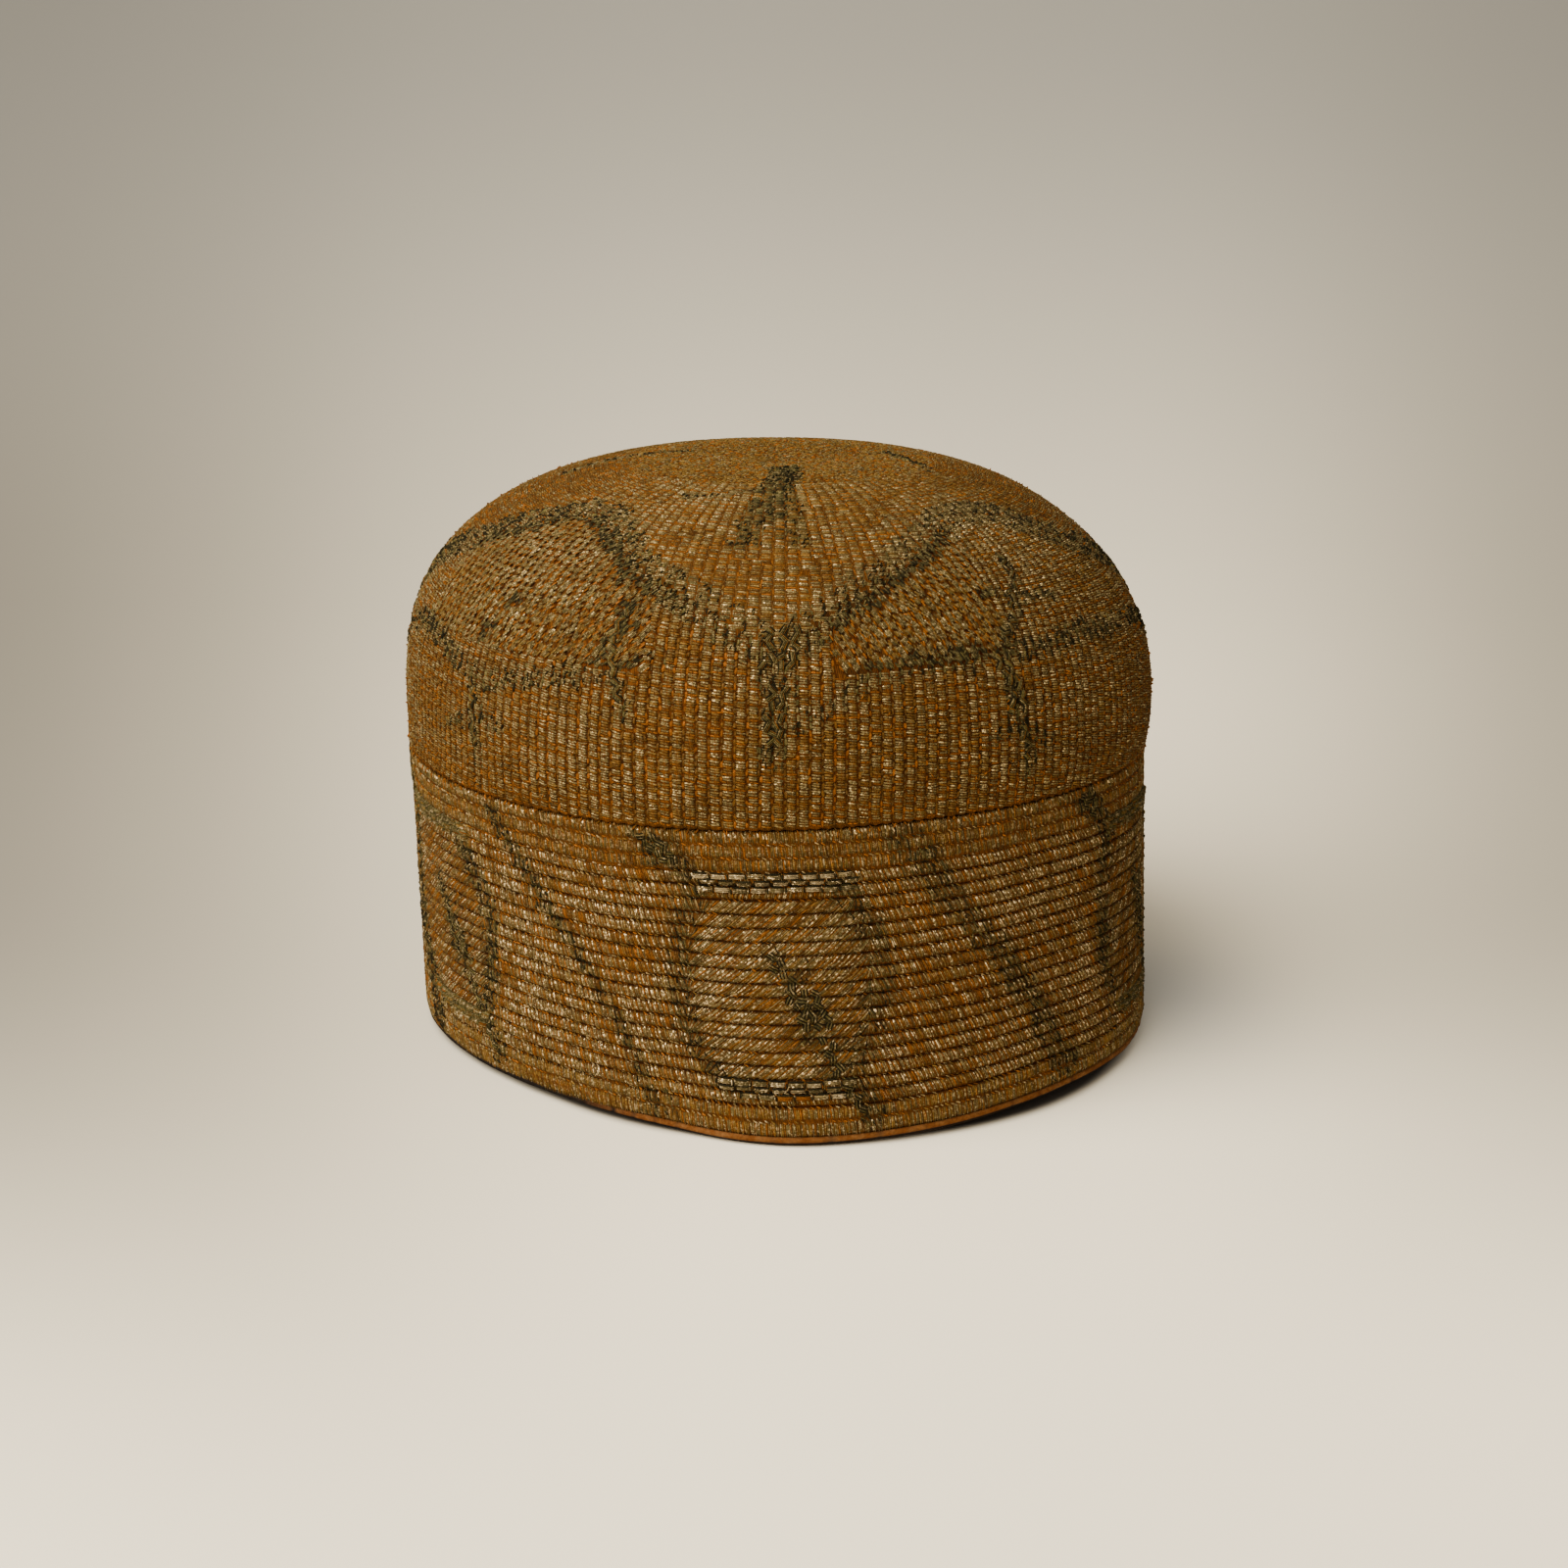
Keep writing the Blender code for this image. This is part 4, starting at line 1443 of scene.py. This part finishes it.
def sheaf_places(stems, turns, share_of):
    """Place, lane, beat number, direction and radius of the sheaves along some stems."""
    rows = []
    for around in turns:
        for side_by_side, points in stems:
            for one, two in zip(points, points[1:]):
                radius = RADIUS * float(share_of((one[1] + two[1]) / 2))
                tip = np.array((math.radians(one[0] + around) * radius, one[1]))
                run = np.array((math.radians(two[0] - one[0]) * radius, two[1] - one[1]))
                far = np.hypot(*run)
                for k in range(max(int(far / BEAT), 1)):
                    for lane in range(side_by_side):
                        aside = lane - (side_by_side - 1) / 2
                        rows.append((*(tip + run * k * BEAT / far), aside, k + lane, *run / far, radius))
    return rows


def sheaves(stems_and_turns, share_of, dyes_across):
    """Each sheaf is five threads side by side, of the dyes that are given."""
    rows = []
    for stems, turns in stems_and_turns:
        rows += sheaf_places(stems, turns, share_of)
    rows = np.array(rows)
    number = len(rows)
    x, y, lane, beat_number, run_x, run_y, radius = rows.T
    turn = np.arctan2(run_y, run_x) + rng.normal(0, 0.25, number)
    turn = turn + np.where(beat_number % 2 == 0, 0.6, -0.6)
    x = x + lane * LANE_WIDTH + rng.normal(0, 0.5, number)
    half = SHEAF_LENGTH / 2 * rng.uniform(0.8, 1.15, number)
    starts, ends, dyes = [], [], []
    for k, dye in enumerate(dyes_across):
        aside = (k - 2) * THREADS_APART
        shorter = half * (1.0 - 0.10 * abs(k - 2))
        sx, sy = x - np.sin(turn) * aside, y + np.cos(turn) * aside
        start, end = leaning_ends(sx / radius, sy, radius, turn, shorter)
        starts.append(start)
        ends.append(end)
        choice = np.full(number, dye)
        dyes.append(np.where((choice == GREY) & (rng.random(number) < 0.4), OLIVE, choice))
    choice = np.concatenate(dyes)
    width = np.where(choice == BLACK, 0.42, 0.40)
    height = np.where(choice == BLACK, 0.44, 0.56) + rng.uniform(0, 0.08, len(choice))
    dye = dyed(choice)
    return np.concatenate(starts), np.concatenate(ends), width, height, dye, dye


stems = ((CROWN_STEMS, CROWN_TURNS), (FRONT_STEMS, FRONT_TURNS))
stem_sheaves = sheaves(stems, crown_share, (BLACK, GREY, OLIVE, BROWN, BLACK))
stem_threads = lay_stitches("scroll_stems", crown_surface, stem_sheaves, LONG)
sprigs = ((BAND_STEMS, MEDALLIONS),)
sprig_sheaves = sheaves(sprigs, np.ones_like, (BLACK, OLIVE, BLACK, GREY, BLACK))
sprig_threads = lay_stitches("medallion_sprigs", band_surface, sprig_sheaves, LONG)

# %% [markdown]
# ## The chains of the medallions
# Above and below each medallion lie rows of flat silver stitches, laid end to end like bricks and
# outlined in black.

# %% Brick-like silver stitches
CHAINS = (
    (62.5, -12.0, 9.5), (61.0, -12.2, 10.5), (59.5, -11.5, 10.5),
    (14.9, -10.0, 9.0), (13.4, -8.5, 8.8), (11.9, -6.5, 8.8),
)
BRICK = 3.9


def chain_stitches():
    """Silver bricks, each of three threads, and the black lines round them."""
    silver, black = [], []
    for around in MEDALLIONS:
        for level, (height, left, right) in enumerate(CHAINS):
            count = round(math.radians(right - left) * RADIUS / BRICK)
            for k in range(count):
                begin = math.radians(around + left) + (k + 0.5 * (level % 2)) * BRICK / RADIUS
                stop = begin + BRICK / RADIUS
                h = height + rng.normal(0, 0.13)
                dull = rng.random() * (1.0 if around == MEDALLIONS[0] else 0.5)
                for lift in (-0.28, 0.02, 0.32):
                    silver.append((begin + 0.3 / RADIUS, h + lift, stop - 0.2 / RADIUS, h + lift, dull))
                black.append((begin, h + 0.72, stop, h + 0.72, 0))
                black.append((begin, h + 0.5, begin + 0.15 / RADIUS, h - 0.7, 0))
    lines = np.array(silver + black)
    is_silver = np.arange(len(lines)) < len(silver)
    choice = pick(lines[:, 4], (0.10, 0.34, 0.55), (ORANGE, GREY, GOLD, CREAM))
    front = np.abs(fold_angle(lines[:, 0], 360.0)) < 20
    choice = redyed(choice, ~(front | (rng.random(len(lines)) < 0.3)), GREY, OCHRE)
    choice = np.where(is_silver, choice, np.where(front, BLACK, OLIVE))
    width = np.where(is_silver, 0.40, 0.42)
    height = np.where(is_silver, 0.72, 0.84)
    dye = dyed(choice, 0.2)
    return lines[:, :2], lines[:, 2:4], width, height, dye, dye


chain_threads = lay_stitches("medallion_chains", band_surface, chain_stitches(), (0.1, 0.5, 0.9))

# %% [markdown]
# ## The seam
# Small overcast stitches join the crown to the band, and the silk of the crown's edge has frayed.

# %% Overcast stitches along the seam
SEAM_STITCHES, FRAYED_THREADS = 620, 260


def seam_stitches():
    """Overcast stitches just under the seam, and frayed silk of the crown's edge across it."""
    count = SEAM_STITCHES
    angle = np.arange(count) * 2 * math.pi / count + rng.uniform(-0.3, 0.3, count) / RADIUS
    kept = patches(angle, np.zeros(count), 7, 50) + rng.normal(0, 0.15, count) > 0.35
    angle = angle[kept]
    count = len(angle)
    top = BAND_TOP - 0.15 + rng.uniform(-0.2, 0.1, count)
    start = np.stack((angle, top), axis=1)
    run = rng.normal(0.45, 0.2, count) / RADIUS
    end = np.stack((angle + run, top - rng.uniform(0.9, 1.6, count)), axis=1)
    frayed = FRAYED_THREADS
    edge = rng.uniform(0, 2 * math.pi, frayed)
    fray_start = np.stack((edge, np.full(frayed, BAND_TOP + 0.4)), axis=1)
    edge_end = edge + rng.normal(0, 0.7, frayed) / RADIUS
    fray_end = np.stack((edge_end, BAND_TOP - rng.uniform(0.3, 1.0, frayed)), axis=1)
    start, end = np.concatenate((start, fray_start)), np.concatenate((end, fray_end))
    bright = rng.choice((GOLD, STRAW, GREY, ORANGE), count, p=(0.5, 0.2, 0.15, 0.15))
    dye = dyed(np.concatenate((bright, any_of(frayed, ORANGE, ORANGE, BROWN))))
    width = np.concatenate((rng.uniform(0.4, 0.55, count), rng.uniform(0.25, 0.45, frayed)))
    height = np.concatenate((rng.uniform(0.30, 0.5, count), rng.uniform(0.5, 0.9, frayed)))
    return start, end, width, height, dye, dye


seam_threads = lay_stitches("seam_stitches", band_surface, seam_stitches(), FLAT)


# %% [markdown]
# Old silk frays. A few thousand hair-thin fibres stand a little off the crown, and soften its outline.

# %% Loose fibres of silk
LOOSE_FIBRES = 2600
FIBRES_FROM, FIBRES_TO = 1.0, 80.0


def fibre_stitches():
    """Fine worn fibres that stand off the crown, from the seam to the edge of the top."""
    number = LOOSE_FIBRES
    angle = rng.uniform(0, 2 * math.pi, number)
    way = rng.uniform(FIBRES_FROM, FIBRES_TO, number)
    keep = rng.random(number) < crown_share(way)
    angle, way = angle[keep], way[keep]
    number = len(way)
    lean = rng.uniform(0, 2 * math.pi, number)
    half = rng.uniform(0.3, 0.9, number)
    radius = crown_share(way) * RADIUS
    start, end = leaning_ends(angle, np.maximum(way, 1.2), radius, lean, half)
    dye = dyed(np.full(number, ORANGE), 0.3)
    return start, end, rng.uniform(0.10, 0.18, number), rng.uniform(0.4, 0.8, number), dye, dye


loose_fibres = lay_stitches("loose_silk_fibres", crown_surface, fibre_stitches(), (0.5,))

# %% [markdown]
# ## Stage and light
# The hat stands on a pale sweep of paper that bends up behind it without a line. The light falls off
# towards the top and the sides, so the paper is painted a little darker there. One large soft light
# from the upper left and front models the cords and makes the metal glint; the others only fill.

# %% The sweep
# The paper's tint low down and higher up, where its painted shade is deepest, and how much the painted
# shade darkens it at the sides, at the top and on the left
PAPER, PAPER_ABOVE = (0.80, 0.69, 0.49, 1.0), (0.80, 0.73, 0.58, 1.0)
PAPER_SPECULAR = 0.5
SIDE_DARK, TOP_DARK, LEFT_DARK = 0.56, 0.53, 0.50
# Nearest distance from the camera at which the paper's shade still changes, in metres
NEAREST = 0.05
# The painted soft shadow: its middle and reach on the paper, and the tints of it and of the painted shade
# on the floor under the hat
SHADOW_X, SHADOW_Y, SHADOW_WIDE, SHADOW_LONG = 0.094, 0.014, 0.031, 0.050
SHADOW_TINT, UNDER_HAT_SHADE_TINT = (0.54, 0.58, 0.67, 1.0), (0.06, 0.05, 0.04, 1.0)
# The edge of that painted shade under the hat, with the dent and the lift of the rim: angle, its reach,
# and depth
FOOT_RADIUS, FOOT_BLUR = 0.0900, 0.005
FOOT_BENDS = ((-0.85, 0.45, 0.0065), (0.75, 0.50, -0.0040))
SWEEP_WIDTH, SWEEP_FRONT, SWEEP_BACK, SWEEP_BEND, SWEEP_RISE = 4.0, -2.5, 0.5, 2.2, 2.0
BEND_STEPS = 24


def sweep_material():
    """Pale paper with painted shade: darker with the angle away from the line of sight to the hat, with a
    painted soft shadow by the hat and painted shade on the floor under it.
    """
    graph = Graph("pale_paper")
    x, y, z = graph.parts(graph.object_place())
    forward, upward = math.cos(LOOKS_DOWN), math.sin(LOOKS_DOWN)
    eye = camera.matrix_world.translation
    depth = graph.maths("MAXIMUM", (y - eye.y) * forward - (z - eye.z) * upward, NEAREST)
    across = (x - eye.x) / depth
    rise = ((y - eye.y) * upward + (z - eye.z) * forward) / depth
    side = graph.maths("ABSOLUTE", across)
    at_top = graph.smooth(rise, 0.02, 0.30)
    at_side = graph.smooth(side, 0.12, 0.31) * graph.smooth(rise, -0.24, -0.03)
    at_left = graph.smooth(across * -1.0, 0.0, 0.22) * graph.smooth(rise, -0.34, -0.05)
    at_side, at_left = (part * (1.0 - at_top * 0.61) for part in (at_side, at_left))
    shade = (1.0 - at_side * SIDE_DARK) * (1.0 - at_top * TOP_DARK) * (1.0 - at_left * LEFT_DARK)
    paper = graph.mix(at_top, PAPER, PAPER_ABOVE)
    # Painted shadow by the hat's right side
    aside, behind = (x - SHADOW_X) * (1 / SHADOW_WIDE), (y - SHADOW_Y) * (1 / SHADOW_LONG)
    paper = graph.tint(graph.bell(aside * aside + behind * behind), paper, SHADOW_TINT)
    # Painted shade on the floor under the hat, inside the edge of its foot
    angle = graph.maths("ARCTAN2", x, y * -1.0)
    beyond = (x * x + y * y) ** 0.5 - FOOT_RADIUS
    for middle, reach, depth in FOOT_BENDS:
        off = (angle - middle) * (1 / reach)
        beyond = beyond + graph.bell(off * off) * depth
    paper = graph.tint(1.0 - graph.smooth(beyond, -FOOT_BLUR, 0.0), paper, UNDER_HAT_SHADE_TINT)
    return graph.finish(graph.shaded(paper, shade), 0.95, specular=PAPER_SPECULAR)


def make_sweep():
    """A floor that curves up into a wall: one edge of a plane extruded along a quarter circle."""
    bpy.ops.mesh.primitive_plane_add(size=1.0)
    sheet = bpy.context.object
    sheet.name = "paper_sweep"
    edit("DESELECT")
    bpy.ops.mesh.select_mode(type="EDGE")
    stop_editing()
    for vertex in sheet.data.vertices:
        side = SWEEP_WIDTH if vertex.co.x > 0 else -SWEEP_WIDTH
        vertex.co = (side, SWEEP_BACK if vertex.co.y > 0 else SWEEP_FRONT, 0)
    for edge in sheet.data.edges:
        edge.select = all(sheet.data.vertices[k].co.y > 0 for k in edge.vertices)
    bpy.ops.object.mode_set(mode="EDIT")
    last = (0.0, 0.0)
    for k in range(1, BEND_STEPS + 1):
        turn = math.pi / 2 * k / BEND_STEPS
        now = (SWEEP_BEND * math.sin(turn), SWEEP_BEND * (1 - math.cos(turn)))
        extrude(0, now[0] - last[0], now[1] - last[1])
        last = now
    extrude(0, 0, SWEEP_RISE)
    edit("SELECT")
    bpy.ops.mesh.normals_make_consistent(inside=False)
    stop_editing()
    bpy.ops.object.shade_smooth()
    if sheet.data.polygons[0].normal.z < 0:
        sheet.data.flip_normals()
    sheet.data.materials.append(sweep_material())
    print("the sweep has", len(sheet.data.vertices), "points")
    return sheet


sweep = make_sweep()

# %% [markdown]
# Three area lights and a pale sky are enough: a large key from the upper left, a weak fill from the
# right, and a faint one from above and behind that keeps the top from merging with the paper.

# %% The lights
LIGHT_AIM = Matrix.Translation((0, 0, 70 * MM)).translation


def soft_light(name, azimuth, elevation, distance, size, power, colour):
    """A round light at an angle to the right of the front and an angle above the floor."""
    turned = math.radians(azimuth)
    up = math.radians(elevation)
    place = Matrix.Translation((
        distance * math.sin(turned) * math.cos(up),
        -distance * math.cos(turned) * math.cos(up),
        distance * math.sin(up),
    )).translation
    bpy.ops.object.light_add(type="AREA", location=place)
    light = bpy.context.object
    light.name = name
    light.data.shape = "DISK"
    light.data.size = size
    light.data.energy = power
    light.data.color = colour
    light.rotation_euler = (LIGHT_AIM - place).to_track_quat("-Z", "Y").to_euler()
    return light


soft_light("key", -46, 43, 1.6, 1.8, 94.0, (1.0, 0.97, 0.92))
soft_light("fill", 28, 35, 2.4, 3.0, 24.0, (1.0, 0.96, 0.92))
soft_light("top", 180, 80, 1.9, 1.6, 3.0, (1.0, 0.98, 0.95))
world = bpy.data.worlds.new("studio")
bpy.context.scene.world = world
world.use_nodes = True
sky = world.node_tree.nodes["Background"].inputs
sky["Color"].default_value = (1.0, 0.97, 0.92, 1.0)
sky["Strength"].default_value = 0.46

# %% [markdown]
# ## The hat's body
# Each piece rides with the hat's one body, and the shells stand for the CAD nodes, which are hidden.

# %% Bodies and replaced nodes
band_pieces = [band_shell, *band_threads, band_ornament, sprig_threads, chain_threads]
band_pieces += [groove_threads, seam_threads]
crown_pieces = [crown_shell, *crown_threads, top_threads, petal_threads, rib_silk, crown_ornament]
crown_pieces += [stem_threads, loose_fibres]
for piece in band_pieces + crown_pieces + [binding_shell]:
    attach(piece, "root")
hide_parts("band")
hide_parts("crown")
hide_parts("rim_binding")
